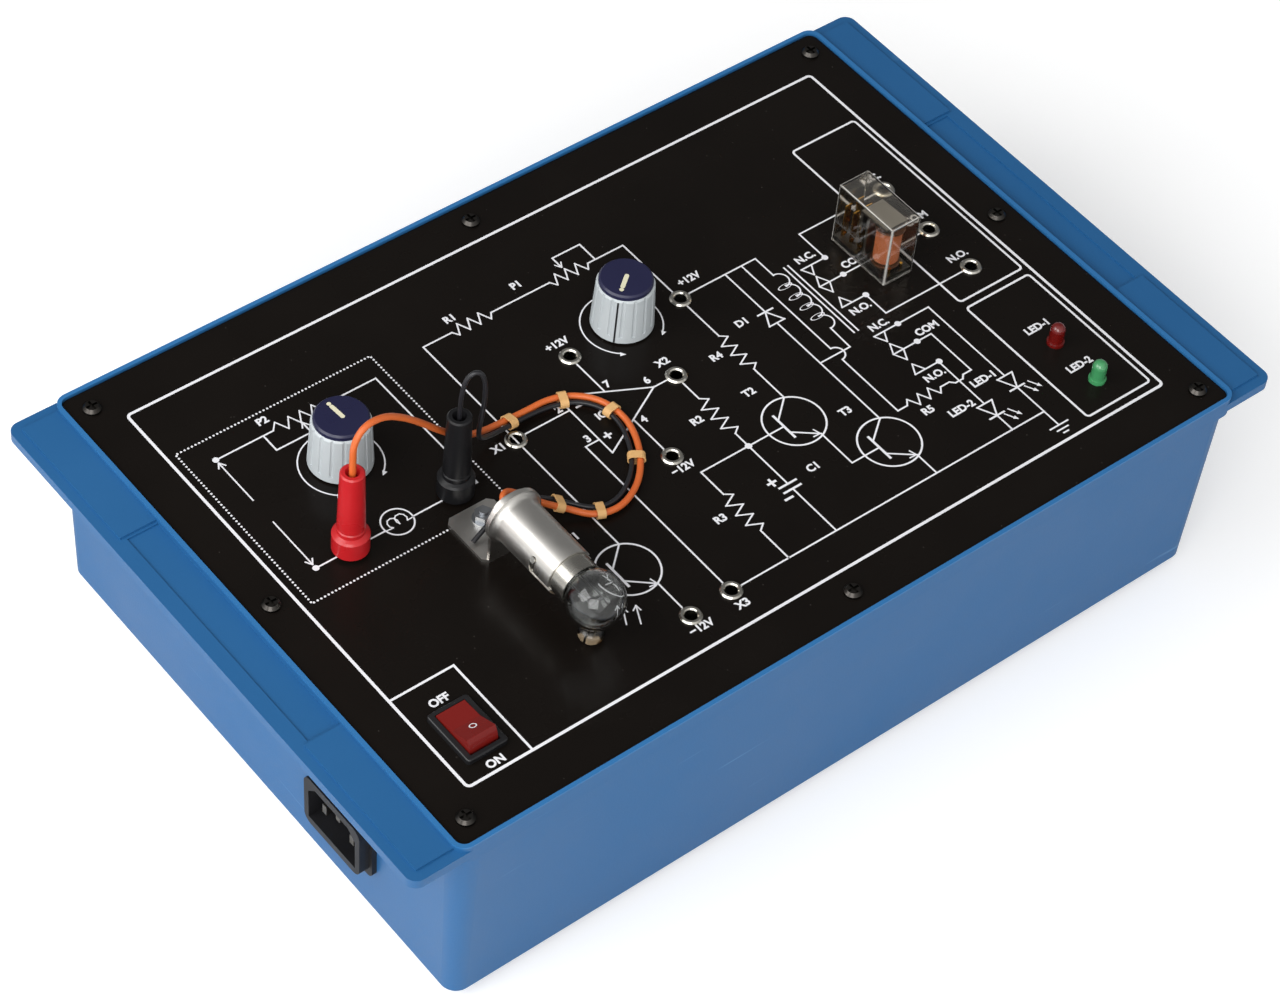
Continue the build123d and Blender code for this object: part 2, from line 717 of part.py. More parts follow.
def mains_inlet():
    plate_t, plate_y, plate_z = INLET_FLANGE
    collar_t, collar_y, collar_z = INLET_COLLAR
    depth, body_y, body_z = INLET_BODY
    body = inlet_plate((plate_y, plate_z), 2.5, -plate_t, 0)
    body += inlet_plate((collar_y, collar_z), 3.5, -plate_t - collar_t, -plate_t)
    body += block(-0.1, depth, -body_y / 2, body_y / 2, -body_z / 2, body_z / 2)
    body -= inlet_cavity()
    for pin in inlet_pins():
        body -= pin
    return on_left_wall(body)


def rocker_outline():
    """The rocker's side view about its pivot: a dished top and round swept ends."""
    half, rise, depth = ROCKER_HALF_LENGTH, ROCKER_END_RISE, ROCKER_DEPTH
    reach = sqrt(half**2 + rise**2)
    low = sqrt(reach**2 - depth**2) - 2.4
    side = ThreePointArc((half, rise), (half + 0.75, 0.8), (low, -depth))
    other = ThreePointArc((-low, -depth), (-half - 0.75, 0.8), (-half, rise))
    top = Polyline((-half, rise), (0, rise - ROCKER_DISH), (half, rise))
    return make_face(side + Line((low, -depth), (-low, -depth)) + other + top)


def switch_rocker():
    plane = Plane((-ROCKER_WIDTH / 2, 0, 0), x_dir=(0, 1, 0), z_dir=(1, 0, 0))
    rocker = extrude(plane * rocker_outline(), ROCKER_WIDTH)
    reach = ROCKER_WIDTH / 2 + ROCKER_PIN_LENGTH
    rocker += Rot(0, 90, 0) * Cylinder(ROCKER_PIN_R, 2 * reach)
    return at_switch(Rot(-ROCKER_TILT_DEG, 0, 0) * rocker)


def at_switch(piece):
    return Pos(SWITCH_X, SWITCH_Y, PANEL_TOP - ROCKER_PIVOT_DROP) * piece


def switch_housing():
    """A snap-in body with a bezel on the panel, hollow for the rocker."""
    top, under = ROCKER_PIVOT_DROP + BEZEL_THICKNESS, ROCKER_PIVOT_DROP
    bezel = extrude(Pos(0, 0, under) * RectangleRounded(BEZEL_X, BEZEL_Y, 1.2), BEZEL_THICKNESS)
    bezel = fillet(bezel.edges().group_by(Axis.Z)[-1], 0.6)
    body = bezel + block(-HOUSING_X / 2, HOUSING_X / 2, -HOUSING_Y / 2, HOUSING_Y / 2, -HOUSING_DEPTH, under)
    half_x = ROCKER_WIDTH / 2 + ROCKER_SIDE_GAP
    tilt = radians(ROCKER_TILT_DEG)
    swing = ROCKER_HALF_LENGTH * cos(tilt) + ROCKER_END_RISE * sin(tilt)
    half_y = swing + ROCKER_END_GAP
    body -= block(-half_x, half_x, -half_y, half_y, HOUSING_FLOOR - HOUSING_DEPTH, top + 1)
    reach = ROCKER_WIDTH / 2 + ROCKER_PIN_LENGTH + 0.1
    body -= Rot(0, 90, 0) * Cylinder(ROCKER_PIN_R + ROCKER_PIN_GAP, 2 * reach)
    for y in (-SWITCH_TAB_Y, SWITCH_TAB_Y):
        body -= switch_tab(y, -HOUSING_DEPTH - 1, HOUSING_FLOOR - HOUSING_DEPTH + 1)
    return at_switch(body)


def switch_tab(y, low, high):
    half_x, half_y = SWITCH_TAB[0] / 2, SWITCH_TAB[1] / 2
    return block(-half_x, half_x, y - half_y, y + half_y, low, high)


def switch_terminals():
    low = -HOUSING_DEPTH - TAB_LENGTH
    high = HOUSING_FLOOR - HOUSING_DEPTH + 1.5
    return [at_switch(switch_tab(y, low, high)) for y in (-SWITCH_TAB_Y, SWITCH_TAB_Y)]


def socket_barrels():
    rim, barrel = SOCKET_FLANGE_R, SOCKET_BARREL_R
    flange_t, length = SOCKET_FLANGE_T, SOCKET_BARREL_LENGTH
    profile = [
        (SOCKET_BORE_R + 0.4, flange_t),
        (rim - 0.5, flange_t),
        (rim, 0.5 * flange_t),
        (rim, 0),
        (barrel, 0),
        (barrel, -length),
        (SOCKET_TAIL_R, -length),
        (SOCKET_TAIL_R, -length - SOCKET_TAIL_LENGTH),
        (0, -length - SOCKET_TAIL_LENGTH),
        (0, flange_t - SOCKET_BORE_DEPTH),
        (SOCKET_BORE_R, flange_t - SOCKET_BORE_DEPTH),
        (SOCKET_BORE_R, flange_t - 0.4),
    ]
    return [turned(profile, x, y, PANEL_TOP) for x, y in all_sockets()]


def panel_nuts():
    """Nuts under the panel and the board on the sockets, and on the two bushes above."""
    bore = SOCKET_BARREL_R + 0.05
    nuts = []
    for x, y in LAMP_SOCKETS + FREE_SOCKETS:
        nuts.append(hexagon(x, y, PANEL_UNDER - SOCKET_NUT_T, PANEL_UNDER, SOCKET_NUT_R, bore))
    for place, (x, y) in enumerate(BOARD_SOCKETS):
        if place not in SPACER_SOCKETS:
            nuts.append(hexagon(x, y, PANEL_UNDER - SOCKET_NUT_T, PANEL_UNDER, SOCKET_NUT_R, bore))
        nuts.append(hexagon(x, y, BOARD_UNDER - SOCKET_NUT_T, BOARD_UNDER, SOCKET_NUT_R, bore))
    for (x, y), pot in ((SENSITIVITY_XY, SENSITIVITY_POT), (INTENSITY_XY, INTENSITY_POT)):
        corner_r = pot[2] + POT_NUT_EXTRA_R
        nuts.append(hexagon(x, y, PANEL_TOP, PANEL_TOP + POT_NUT_T, corner_r, pot[2] + 0.05))
    return nuts


def board_spacers():
    bore = SOCKET_BARREL_R + 0.1
    places = [BOARD_SOCKETS[i] for i in SPACER_SOCKETS]
    return [tube(x, y, BOARD_TOP, PANEL_UNDER, SPACER_R, bore) for x, y in places]


def pot_case(xy, pot):
    """A round potentiometer case with its threaded bush and three tags."""
    radius, depth, bush_r = pot
    x, y = xy
    top = PANEL_UNDER
    case = rod(x, y, top - depth, top, radius)
    case += rod(x, y, top - 0.1, PANEL_TOP + BUSH_RISE, bush_r)
    case -= rod(x, y, top - depth + POT_WALL, top - POT_WALL, radius - POT_WALL)
    case -= rod(x, y, top - POT_WALL - 1, PANEL_TOP + BUSH_RISE + 1, SHAFT_R + SHAFT_GAP)
    width, length, thick = POT_TERMINAL
    for shift in (-POT_TERMINAL_SPACING, 0, POT_TERMINAL_SPACING):
        z = top - depth + 1
        reach = y - sqrt(radius**2 - shift**2)
        case += block(x + shift - width / 2, x + shift + width / 2, reach - length, reach + 1, z, z + thick)
    return case


def pot_shaft(xy, pot):
    """The shaft with its wiper disc inside the case."""
    x, y = xy
    bottom = PANEL_UNDER - pot[1] + POT_WALL + 0.4
    shaft = rod(x, y, bottom, PANEL_TOP + SHAFT_TOP, SHAFT_R)
    shaft += rod(x, y, bottom + 2, bottom + 2 + WIPER_T, WIPER_R)
    return shaft


def knob(xy, pointer_deg):
    """A grooved, slightly tapered skirt with a hub that grips the shaft. The grooves stop
    above a plain band at its foot."""
    x, y = xy
    low, high = KNOB_LIFT, KNOB_LIFT + KNOB_BODY_HEIGHT
    base_r, top_r, wall = KNOB_BASE_R, KNOB_TOP_R, KNOB_WALL
    skirt = turned(
        [(0, low), (base_r, low), (top_r, high - 0.6), (top_r - 0.6, high), (0, high)], 0, 0, 0
    )
    room = turned(
        [(0, low - 1), (base_r - wall, low - 1), (top_r - wall, high - KNOB_ROOF), (0, high - KNOB_ROOF)],
        0, 0, 0,
    )
    hub = rod(0, 0, BUSH_RISE + 1, high - 1, KNOB_HUB_R)
    body = skirt - room + hub
    body -= rod(0, 0, low - 1, SHAFT_TOP + 0.2, SHAFT_R + 0.02)
    body -= rod(0, 0, high - 0.8, high + 1, CAP_R - 1.2)
    lean = degrees(atan2(base_r - top_r, high - 0.6 - low))
    groove = rod(0, 0, KNOB_PLAIN_BAND, high - low + 1, KNOB_GROOVE_R)
    groove = Pos(base_r + KNOB_GROOVE_OUT, 0, low) * Rot(0, -lean, 0) * groove
    for i in range(KNOB_GROOVES):
        body -= Rot(0, 0, pointer_deg + (i + 0.5) * 360 / KNOB_GROOVES) * groove
    return Pos(x, y, PANEL_TOP) * body


def knob_cap(xy):
    """The push-in cap with a low crown and a plug under it."""
    x, y = xy
    base = KNOB_LIFT + KNOB_BODY_HEIGHT
    profile = [
        (0, -0.7),
        (CAP_R - 1.2 - CAP_GAP, -0.7),
        (CAP_R - 1.2 - CAP_GAP, 0),
        (CAP_R, 0),
        (CAP_R, CAP_HEIGHT - 0.7),
        (CAP_R - 0.6, CAP_HEIGHT - 0.1),
        (0, CAP_HEIGHT),
    ]
    return turned(profile, x, y, PANEL_TOP + base)


def led(xy):
    """A 5 mm LED standing on the panel."""
    dome = LED_HEIGHT - LED_R
    rim, step, slope = LED_FLANGE_R, LED_FLANGE_T, LED_R * sin(pi / 4)
    profile = Polyline((0, 0), (rim, 0), (rim, step), (LED_R, step), (LED_R, dome))
    round_top = ThreePointArc((LED_R, dome), (slope, dome + slope), (0, LED_HEIGHT))
    outline = profile + round_top + Line((0, LED_HEIGHT), (0, 0))
    body = revolve(Plane.XZ * make_face(outline), Axis.Z)
    return Pos(*xy, PANEL_TOP) * body


def led_leads():
    half, thick = LED_LEAD_SPACING / 2, LED_LEAD / 2
    low = BOARD_UNDER - 1.5
    leads = []
    for x, y in LED_XY:
        for shift in (-half, half):
            leads.append(block(x + shift - thick, x + shift + thick, y - thick, y + thick, low, PANEL_TOP))
    return leads


def phototransistor():
    """A clear moulded body: a squat round base and a narrow domed neck."""
    base, neck, height = SENSOR_BASE_R, SENSOR_NECK_R, SENSOR_HEIGHT
    shoulder = SENSOR_BASE_HEIGHT
    foot_r = base - 1.0
    side = ThreePointArc((foot_r, 0), (base, 0.45 * shoulder), (neck, shoulder))
    wall = Line((neck, shoulder), (neck, height - neck))
    slope = neck * sin(pi / 4)
    dome = ThreePointArc((neck, height - neck), (slope, height - neck + slope), (0, height))
    outline = Line((0, 0), (foot_r, 0)) + side + wall + dome + Line((0, height), (0, 0))
    body = revolve(Plane.XZ * make_face(outline), Axis.Z)
    slot = SENSOR_LEAD / 2 + 0.05
    for shift in (-SENSOR_LEAD_HALF_SPACING, SENSOR_LEAD_HALF_SPACING):
        body -= block(shift - slot, shift + slot, -slot, slot, -1, SENSOR_LEAD_RISE + 0.1)
    return Pos(*SENSOR_XY, PANEL_TOP) * body


def phototransistor_leads():
    """Two gold leads that stand in the clear body."""
    x, y = SENSOR_XY
    half = SENSOR_LEAD / 2
    low, high = PANEL_UNDER - SENSOR_LEAD_LENGTH, PANEL_TOP + SENSOR_LEAD_RISE
    leads = []
    for shift in (-SENSOR_LEAD_HALF_SPACING, SENSOR_LEAD_HALF_SPACING):
        leads.append(block(x + shift - half, x + shift + half, y - half, y + half, low, high))
    return leads


def lamp_bracket():
    """A plated steel angle: a chamfered foot on the panel and a plate behind the holder."""
    x0, x1 = BRACKET_FOOT_X
    y0, y1 = BRACKET_BACK_Y - BRACKET_T, BRACKET_FOOT_BACK_Y
    foot = block(x0, x1, y0, y1, PANEL_TOP, PANEL_TOP + BRACKET_T)
    foot = chamfer(foot.edges().filter_by(Axis.Z), BRACKET_CORNER)
    half = BRACKET_PLATE_WIDTH / 2
    top = PANEL_TOP + BRACKET_PLATE_TOP
    plate = block(LAMP_X - half, LAMP_X + half, y0, BRACKET_BACK_Y, PANEL_TOP, top)
    corners = plate.edges().filter_by(Axis.Y).group_by(Axis.Z)[-1]
    bracket = foot + fillet(corners, half - 1)
    bracket -= rod(*BRACKET_SCREW_XY, PANEL_TOP - 1, PANEL_TOP + 3, BOLT_HOLE_R)
    hole = Rot(90, 0, 0) * Cylinder(BRACKET_WIRE_HOLE_R, 4 * BRACKET_T)
    return bracket - Pos(LAMP_X, BRACKET_BACK_Y, LAMP_Z) * hole


def bracket_fixing():
    """A bolt from under the panel, a washer and a nut, the bolt's end standing out."""
    x, y = BRACKET_SCREW_XY
    washer_z = PANEL_TOP + BRACKET_T
    nut_z = washer_z + WASHER_T
    bolt = rod(x, y, PANEL_UNDER - 0.1, nut_z + BOLT_NUT_T + BOLT_STUB, BOLT_R)
    bolt += Pos(x, y, PANEL_UNDER) * Rot(180, 0, 0) * cross_head(BOLT_HEAD_R, BOLT_HEAD_HEIGHT)
    washer = tube(x, y, washer_z, nut_z, WASHER_R, BOLT_HOLE_R)
    nut = hexagon(x, y, nut_z, nut_z + BOLT_NUT_T, BOLT_NUT_R, BOLT_R + 0.05)
    return [bolt, washer, nut]


def bulb_pin_height():
    return BULB_CONTACT_BACK + BULB_PIN_FROM_CONTACT


def lamp_holder():
    """A spun steel shell with a rolled collar and two bayonet slots."""
    outer, inner = HOLDER_R, HOLDER_R - HOLDER_WALL
    bead = COLLAR_T
    profile = Polyline((inner, 0), (COLLAR_R, 0), (COLLAR_R, bead))
    flare = ThreePointArc((COLLAR_R, bead), (outer + 0.55, bead + 0.7), (outer, bead + COLLAR_FLARE))
    rest = Polyline((outer, bead + COLLAR_FLARE), (outer, HOLDER_LENGTH), (inner, HOLDER_LENGTH), (inner, 0))
    shell = revolve(Plane.XZ * make_face(profile + flare + rest), Axis.Z)
    for turn in (0, 180):
        shell -= Rot(0, 0, turn) * bayonet_slot()
    return lying(shell)


def bayonet_slot():
    """The leg in from the mouth and the arm round to the rest, as one cutter."""
    half = SLOT_WIDTH / 2
    pin_z = bulb_pin_height()
    leg = block(5, 12, -half, half, pin_z - half, HOLDER_LENGTH + 1)
    leg = Rot(0, 0, SLOT_REST_DEG + SLOT_TURN_DEG) * leg
    ring = tube(0, 0, pin_z - half, pin_z + half, 12, 5)
    angles = [radians(SLOT_REST_DEG + part * SLOT_TURN_DEG) for part in (0, 0.5, 1)]
    sector = Polyline((0, 0), *[(20 * cos(a), 20 * sin(a)) for a in angles], close=True)
    arm = ring & extrude(Pos(0, 0, pin_z - half) * make_face(sector), 2 * half)
    end = Rot(0, 0, SLOT_REST_DEG) * Pos(8.5, 0, pin_z) * Rot(0, 90, 0) * Cylinder(half, 7)
    return leg + arm + end


def holder_insulator():
    """The fibre disc that carries the centre contact, held behind the bulb."""
    radius = HOLDER_R - HOLDER_WALL - INSULATOR_GAP
    return lying(tube(0, 0, 0.2, 0.2 + INSULATOR_T, radius, PLUNGER_R + 0.1))


def holder_plunger():
    """The brass centre contact, from the solder cup behind to the bulb's contact."""
    top = BULB_CONTACT_BACK
    radius = PLUNGER_R
    profile = [(0, -1.5), (radius, -1.5), (radius, 5.0), (2.6, 5.0), (2.6, top - 2), (1.6, top), (0, top)]
    return lying(turned(profile, 0, 0, 0))


def holder_spring():
    """The spring that presses the contact forward."""
    low = 0.2 + INSULATOR_T + SPRING_WIRE_R + 0.05
    return lying(Pos(0, 0, low) * wound("holder_spring", SPRING_R, SPRING_PITCH, SPRING_TURNS, SPRING_WIRE_R))


def bulb_cap():
    """The bulb's plated cap with its two pins and the solder contact."""
    back, front = BULB_CONTACT_BACK, globe_start() - CAP_BULB_LIP
    radius, wall = CAP_BULB_R, CAP_BULB_WALL
    profile = [
        (0, back + 0.05),
        (1.8, back + 0.3),
        (2.2, back + 1.0),
        (radius - 1.5, back + 1.6),
        (radius, back + 3.2),
        (radius, front),
        (radius - wall, front),
        (radius - wall, back + 3.6),
        (0, back + 3.6),
    ]
    cap = turned(profile, 0, 0, 0)
    reach, inner = BULB_PIN_REACH, radius - wall
    pin = Pos((reach + inner) / 2, 0, bulb_pin_height()) * Rot(0, 90, 0) * Cylinder(BULB_PIN_R, reach - inner)
    for turn in (SLOT_REST_DEG, SLOT_REST_DEG + 180):
        cap += Rot(0, 0, turn) * pin
    return lying(cap)


def glass_foot():
    """How far the glass starts from the holder's seam, clear of the cap's pins."""
    return bulb_pin_height() + BULB_PIN_R + 1.0


def neck_r():
    return CAP_BULB_R - CAP_BULB_WALL - CEMENT_GAP


def globe_start():
    """Where the neck meets the globe."""
    return GLOBE_CENTRE - sqrt(GLOBE_R**2 - neck_r() ** 2)


def bulb_glass():
    """The clear globe with its neck in the cap and the glass stem inside it."""
    neck = neck_r()
    low = glass_foot()
    outer = neck_and_globe(neck, GLOBE_R, low)
    inner = neck_and_globe(neck - GLASS_WALL, GLOBE_R - GLASS_WALL, low - 1)
    floor = rod(0, 0, low, low + STEM_FLOOR, neck - GLASS_WALL / 2)
    stem = rod(0, 0, low, low + STEM_LENGTH, STEM_R)
    glass = outer - inner + floor + stem
    for side in (-1, 1):
        glass -= rod(side * FILAMENT_HALF, 0, low - 1, low + STEM_LENGTH + 1, FILAMENT_POST_R + 0.05)
    return lying(glass)


def neck_and_globe(neck, globe, low):
    centre = GLOBE_CENTRE
    meet = centre - sqrt(globe**2 - neck**2)
    line = Polyline((0, low), (neck, low), (neck, meet))
    ball = ThreePointArc((neck, meet), (globe, centre), (0, centre + globe))
    outline = line + ball + Line((0, centre + globe), (0, low))
    return revolve(Plane.XZ * make_face(outline), Axis.Z)


def bulb_filament():
    """Two support wires through the stem with the filament across their ends."""
    low = glass_foot() - STEM_TAIL
    high = GLOBE_CENTRE + FILAMENT_RISE
    half, post = FILAMENT_HALF, FILAMENT_POST_R
    wires = rod(-half, 0, low, high, post) + rod(half, 0, low, high, post)
    wires += Pos(0, 0, high - post) * Rot(0, 90, 0) * Cylinder(FILAMENT_COIL_R, 2 * half)
    return lying(wires)


def plug(xy):
    """A plug's plastic handle, with its pin hole and the wire's hole at the top."""
    low, high = SOCKET_FLANGE_T + 0.1, PLUG_HEIGHT
    step, groove = PLUG_COLLAR_HEIGHT, PLUG_GROOVE_RISE
    body, top = PLUG_BODY_R, PLUG_TOP_R
    profile = [
        (PLUG_PIN_R + 0.02, low),
        (PLUG_COLLAR_R - 0.4, low),
        (PLUG_COLLAR_R, low + 0.4),
        (PLUG_COLLAR_R, step - 0.6),
        (PLUG_COLLAR_R - 0.6, step),
        (body, step + 0.6),
        (body, groove - 0.4),
        (body - PLUG_GROOVE, groove),
        (body, groove + 0.4),
        (top, high - 0.5),
        (top - 0.5, high),
        (ORANGE_R + 1.2, high),
        (ORANGE_R + 0.05, high - PLUG_BORE_DEPTH),
        (0, high - PLUG_BORE_DEPTH),
        (0, high - PLUG_BORE_DEPTH - 3),
        (PLUG_PIN_R + 0.02, high - PLUG_BORE_DEPTH - 3),
    ]
    return turned(profile, *xy, PANEL_TOP)


def plug_pins():
    low = SOCKET_FLANGE_T - PLUG_PIN_LENGTH
    high = PLUG_HEIGHT - PLUG_BORE_DEPTH - 4
    profile = [(0, low), (0.9, low), (PLUG_PIN_R, low + 1.2), (PLUG_PIN_R, high), (0, high)]
    return [turned(profile, x, y, PANEL_TOP) for x, y in LAMP_SOCKETS]


def lead_ties():
    """Narrow bands that bind the two leads together."""
    steps = 600
    orange, black = lead_path(ORANGE_ROUTE), lead_path(BLACK_ROUTE)
    orange_points = [orange @ (i / steps) for i in range(steps + 1)]
    black_points = [black @ (i / steps) for i in range(steps + 1)]
    ties = []
    for x, y in TIE_SPOTS:
        here = min(range(steps), key=lambda i: (orange_points[i].X - x) ** 2 + (orange_points[i].Y - y) ** 2)
        a = orange_points[here]
        there = min(range(steps), key=lambda i: (black_points[i] - a).length)
        b = black_points[there]
        along = (orange % (here / steps) + black % (there / steps)).normalized()
        across = (b - a) - along * (b - a).dot(along)
        ties.append(tie(a, across, along))
    return ties


def tie(at, across, along):
    """A band round two wires, one at a point and the other across from it."""
    long = across.length + ORANGE_R + BLACK_R + 2 * TIE_GAP
    high = 2 * (ORANGE_R + TIE_GAP)
    middle = at + across.normalized() * (long / 2 - ORANGE_R - TIE_GAP)
    plane = Plane(origin=middle, x_dir=across, z_dir=along)
    wall = TIE_THICKNESS
    outer = RectangleRounded(long + 2 * wall, high + 2 * wall, high / 2 + wall - 0.05)
    band = outer - RectangleRounded(long, high, high / 2 - 0.05)
    return extrude(plane * band, TIE_WIDTH / 2, both=True)


def relay_floor():
    return PANEL_TOP + RELAY_STANDOFF


def relay_pin_places():
    """Two coil pins in front and two rows of three contact pins behind."""
    x = RELAY_XY[0]
    half = CONTACT_SPACING / 2
    front = COIL_Y - COIL_PIN_FORWARD
    coil = [(x - half, front), (x + half, front)]
    return coil + [(x + side * half, row) for row in contact_rows() for side in (-1, 1)]


def relay_base():
    x, y = RELAY_XY
    half_x, half_y = RELAY_X / 2 - RELAY_WALL - 0.05, RELAY_Y / 2 - RELAY_WALL - 0.05
    low = relay_floor()
    base = block(x - half_x, x + half_x, y - half_y, y + half_y, low, low + RELAY_BASE_T)
    for px, py in relay_pin_places():
        base -= rod(px, py, low - 1, low + 5, RELAY_PIN_R + 0.05)
    return base


def relay_cover():
    x, y = RELAY_XY
    low, high = relay_floor(), PANEL_TOP + RELAY_HEIGHT
    outer = Pos(x, y, 0) * slab(RELAY_X, RELAY_Y, low, high, 0.8)
    outer = chamfer(outer.edges().group_by(Axis.Z)[-1], 0.4)
    half_x, half_y = RELAY_X / 2 - RELAY_WALL, RELAY_Y / 2 - RELAY_WALL
    return outer - block(x - half_x, x + half_x, y - half_y, y + half_y, 0, high - RELAY_WALL)


def coil_floor():
    return relay_floor() + RELAY_BASE_T + YOKE_T


def coil_height():
    return COIL_TURNS * COIL_PITCH + 2 * COIL_WIRE_R + 0.3


def relay_former():
    """The bobbin: a tube between two cheeks."""
    x = RELAY_XY[0]
    low = coil_floor()
    high = low + coil_height() + 2 * COIL_CHEEK_T
    former = rod(x, COIL_Y, low, high, COIL_INNER_R)
    for z in (low, high - COIL_CHEEK_T):
        former += rod(x, COIL_Y, z, z + COIL_CHEEK_T, COIL_CHEEK_R)
    return former - rod(x, COIL_Y, low - 1, high + 1, COIL_CORE_R + 0.05)


def relay_winding():
    """The outer layer of the coil over the bobbin."""
    z = coil_floor() + COIL_CHEEK_T + COIL_WIRE_R + 0.15
    radius = COIL_INNER_R + COIL_WIRE_R + 0.02
    return Pos(RELAY_XY[0], COIL_Y, z) * wound("relay_winding", radius, COIL_PITCH, COIL_TURNS, COIL_WIRE_R)


def core_top():
    return coil_floor() + coil_height() + 2 * COIL_CHEEK_T + 0.5


def yoke_back():
    return COIL_Y + COIL_CHEEK_R + 0.4 + YOKE_T


def relay_yoke():
    """The iron core and the angle that brings the field up behind the coil."""
    x = RELAY_XY[0]
    half = YOKE_WIDTH / 2
    low = relay_floor() + RELAY_BASE_T
    yoke = block(x - half, x + half, COIL_Y - 3.4, yoke_back(), low, low + YOKE_T)
    yoke += block(x - half, x + half, yoke_back() - YOKE_T, yoke_back(), low, core_top())
    return yoke + rod(x, COIL_Y, low, core_top(), COIL_CORE_R)


def relay_armature():
    """The iron flap over the core, resting on the yoke's edge, with the insulating card."""
    x = RELAY_XY[0]
    half = YOKE_WIDTH / 2
    low = core_top() + ARMATURE_LIFT
    front, back = COIL_Y - 3.2, yoke_back() + ARMATURE_OVERHANG
    flap = block(x - half, x + half, front, back, low, low + ARMATURE_T)
    hinge = Pos(x, yoke_back() - YOKE_T / 2, low)
    lean = Rot(-ARMATURE_TURN_DEG, 0, 0)
    card = block(x - half, x + half, back - CARD_T, back, low - CARD_DROP, low + ARMATURE_T)
    return hinge * lean * hinge.inverse() * (flap + card)


def contact_rows():
    """The pin rows from front to back: closed contact, moving blade, open contact."""
    back = RELAY_XY[1] + RELAY_Y / 2
    return [back - inset for inset in CONTACT_ROWS_FROM_BACK]


def relay_contacts():
    """Contact blades on their pins: the moving blades and the fixed ones each side."""
    x = RELAY_XY[0]
    wide, thick = CONTACT_BLADE
    base = relay_floor() + RELAY_BASE_T
    low = PANEL_UNDER - RELAY_PIN_LENGTH
    blades = []
    for row, top in zip(contact_rows(), CONTACT_HEIGHTS):
        for side in (-1, 1):
            px = x + side * CONTACT_SPACING / 2
            blade = rod(px, row, low, base + 1, RELAY_PIN_R)
            blade += block(px - wide / 2, px + wide / 2, row - thick / 2, row + thick / 2, base, base + top)
            blades.append(blade)
    for side in (-1, 1):
        px = x + side * CONTACT_SPACING / 2
        blades.append(rod(px, COIL_Y - COIL_PIN_FORWARD, low, base + 2, RELAY_PIN_R))
    return blades


def control_board():
    x0, x1, y0, y1 = BOARD_MAIN
    board = block(x0, x1, y0, y1, BOARD_UNDER, BOARD_TOP)
    x0, x1, y0, y1 = BOARD_WING
    board += block(x0, x1, y0 - 1, y1, BOARD_UNDER, BOARD_TOP)
    low, high = BOARD_UNDER - 1, BOARD_TOP + 1
    for x, y in BOARD_SOCKETS:
        board -= rod(x, y, low, high, SOCKET_BARREL_R + 0.15)
    for x, y in relay_pin_places():
        board -= rod(x, y, low, high, RELAY_PIN_R + 0.15)
    for x, y in LED_XY:
        for shift in (-LED_LEAD_SPACING / 2, LED_LEAD_SPACING / 2):
            board -= rod(x + shift, y, low, high, LED_LEAD)
    return board


def board_chip():
    """An eight-pin amplifier under the board."""
    x, y = CHIP_XY
    half_x, half_y = CHIP_SIZE[0] / 2, CHIP_SIZE[1] / 2
    top = BOARD_UNDER - 0.8
    body = block(x - half_x, x + half_x, y - half_y, y + half_y, top - CHIP_SIZE[2], top)
    for i in range(4):
        for side in (-1, 1):
            px, py = x + (i - 1.5) * CHIP_PITCH, y + side * (half_y + 0.6)
            body += block(px - 0.3, px + 0.3, py - 0.6, py + 0.6, BOARD_UNDER - 2.8, BOARD_UNDER)
    return body


def board_cans():
    """Two metal-can transistors hanging under the board."""
    cans = []
    for x, y, radius, height in CANS:
        can = rod(x, y, BOARD_UNDER - height - 1, BOARD_UNDER - 1, radius)
        can += rod(x, y, BOARD_UNDER - 1.5, BOARD_UNDER - 1, radius + 0.5)
        for turn in range(3):
            angle = radians(120 * turn)
            can += rod(x + 1.3 * cos(angle), y + 1.3 * sin(angle), BOARD_UNDER - 1.2, BOARD_UNDER, 0.25)
        cans.append(can)
    return cans


def board_resistors():
    """Resistors and the diode lying under the board."""
    pieces = []
    z = BOARD_UNDER - 1.6
    for x, y, turn in RESISTORS:
        body = Rot(0, 90, 0) * Cylinder(*RESISTOR_SIZE)
        for side in (-1, 1):
            body += Pos(side * 4.2, 0, 0) * Rot(0, 90, 0) * Cylinder(0.3, 2.4)
            body += Pos(side * 5.2, 0, 0.7) * Cylinder(0.3, 1.8)
        pieces.append(Pos(x, y, z) * Rot(0, 0, turn) * body)
    return pieces


def core_bolt_places():
    x, y = CORE_AT
    return [(x - CORE_BOLT_SPAN / 2, y), (x + CORE_BOLT_SPAN / 2, y)]


def core_floor():
    return FLOOR_TOP + PILLAR_HEIGHT + CORE_FOOT[2]


def transformer_core():
    """The laminated core: a frame with a middle limb, on its side."""
    x, y = CORE_AT
    length, depth, height = CORE_XYZ
    z0 = core_floor()
    core = block(x - length / 2, x + length / 2, y - depth / 4, y + depth / 4, z0, z0 + height)
    limb = CORE_LIMB
    window = (length - 4 * limb) / 2
    half, low, high = window / 2, z0 + limb, z0 + height - limb
    for centre in (x - limb - half, x + limb + half):
        core -= block(centre - half, centre + half, y - depth, y + depth, low, high)
    return core


def transformer_coil():
    """The wound bobbin round the middle limb, wrapped in tape."""
    x, y = CORE_AT
    length, depth, height = CORE_XYZ
    limb = CORE_LIMB
    window = (length - 4 * limb) / 2
    z0 = core_floor()
    gap = 0.4
    half_x = limb + window - gap
    low, high = z0 + limb + gap, z0 + height - limb - gap
    coil = block(x - half_x, x + half_x, y - depth / 2, y + depth / 2, low, high)
    coil -= block(x - limb - gap, x + limb + gap, y - depth / 4 - gap, y + depth / 4 + gap, low - 1, high + 1)
    return coil


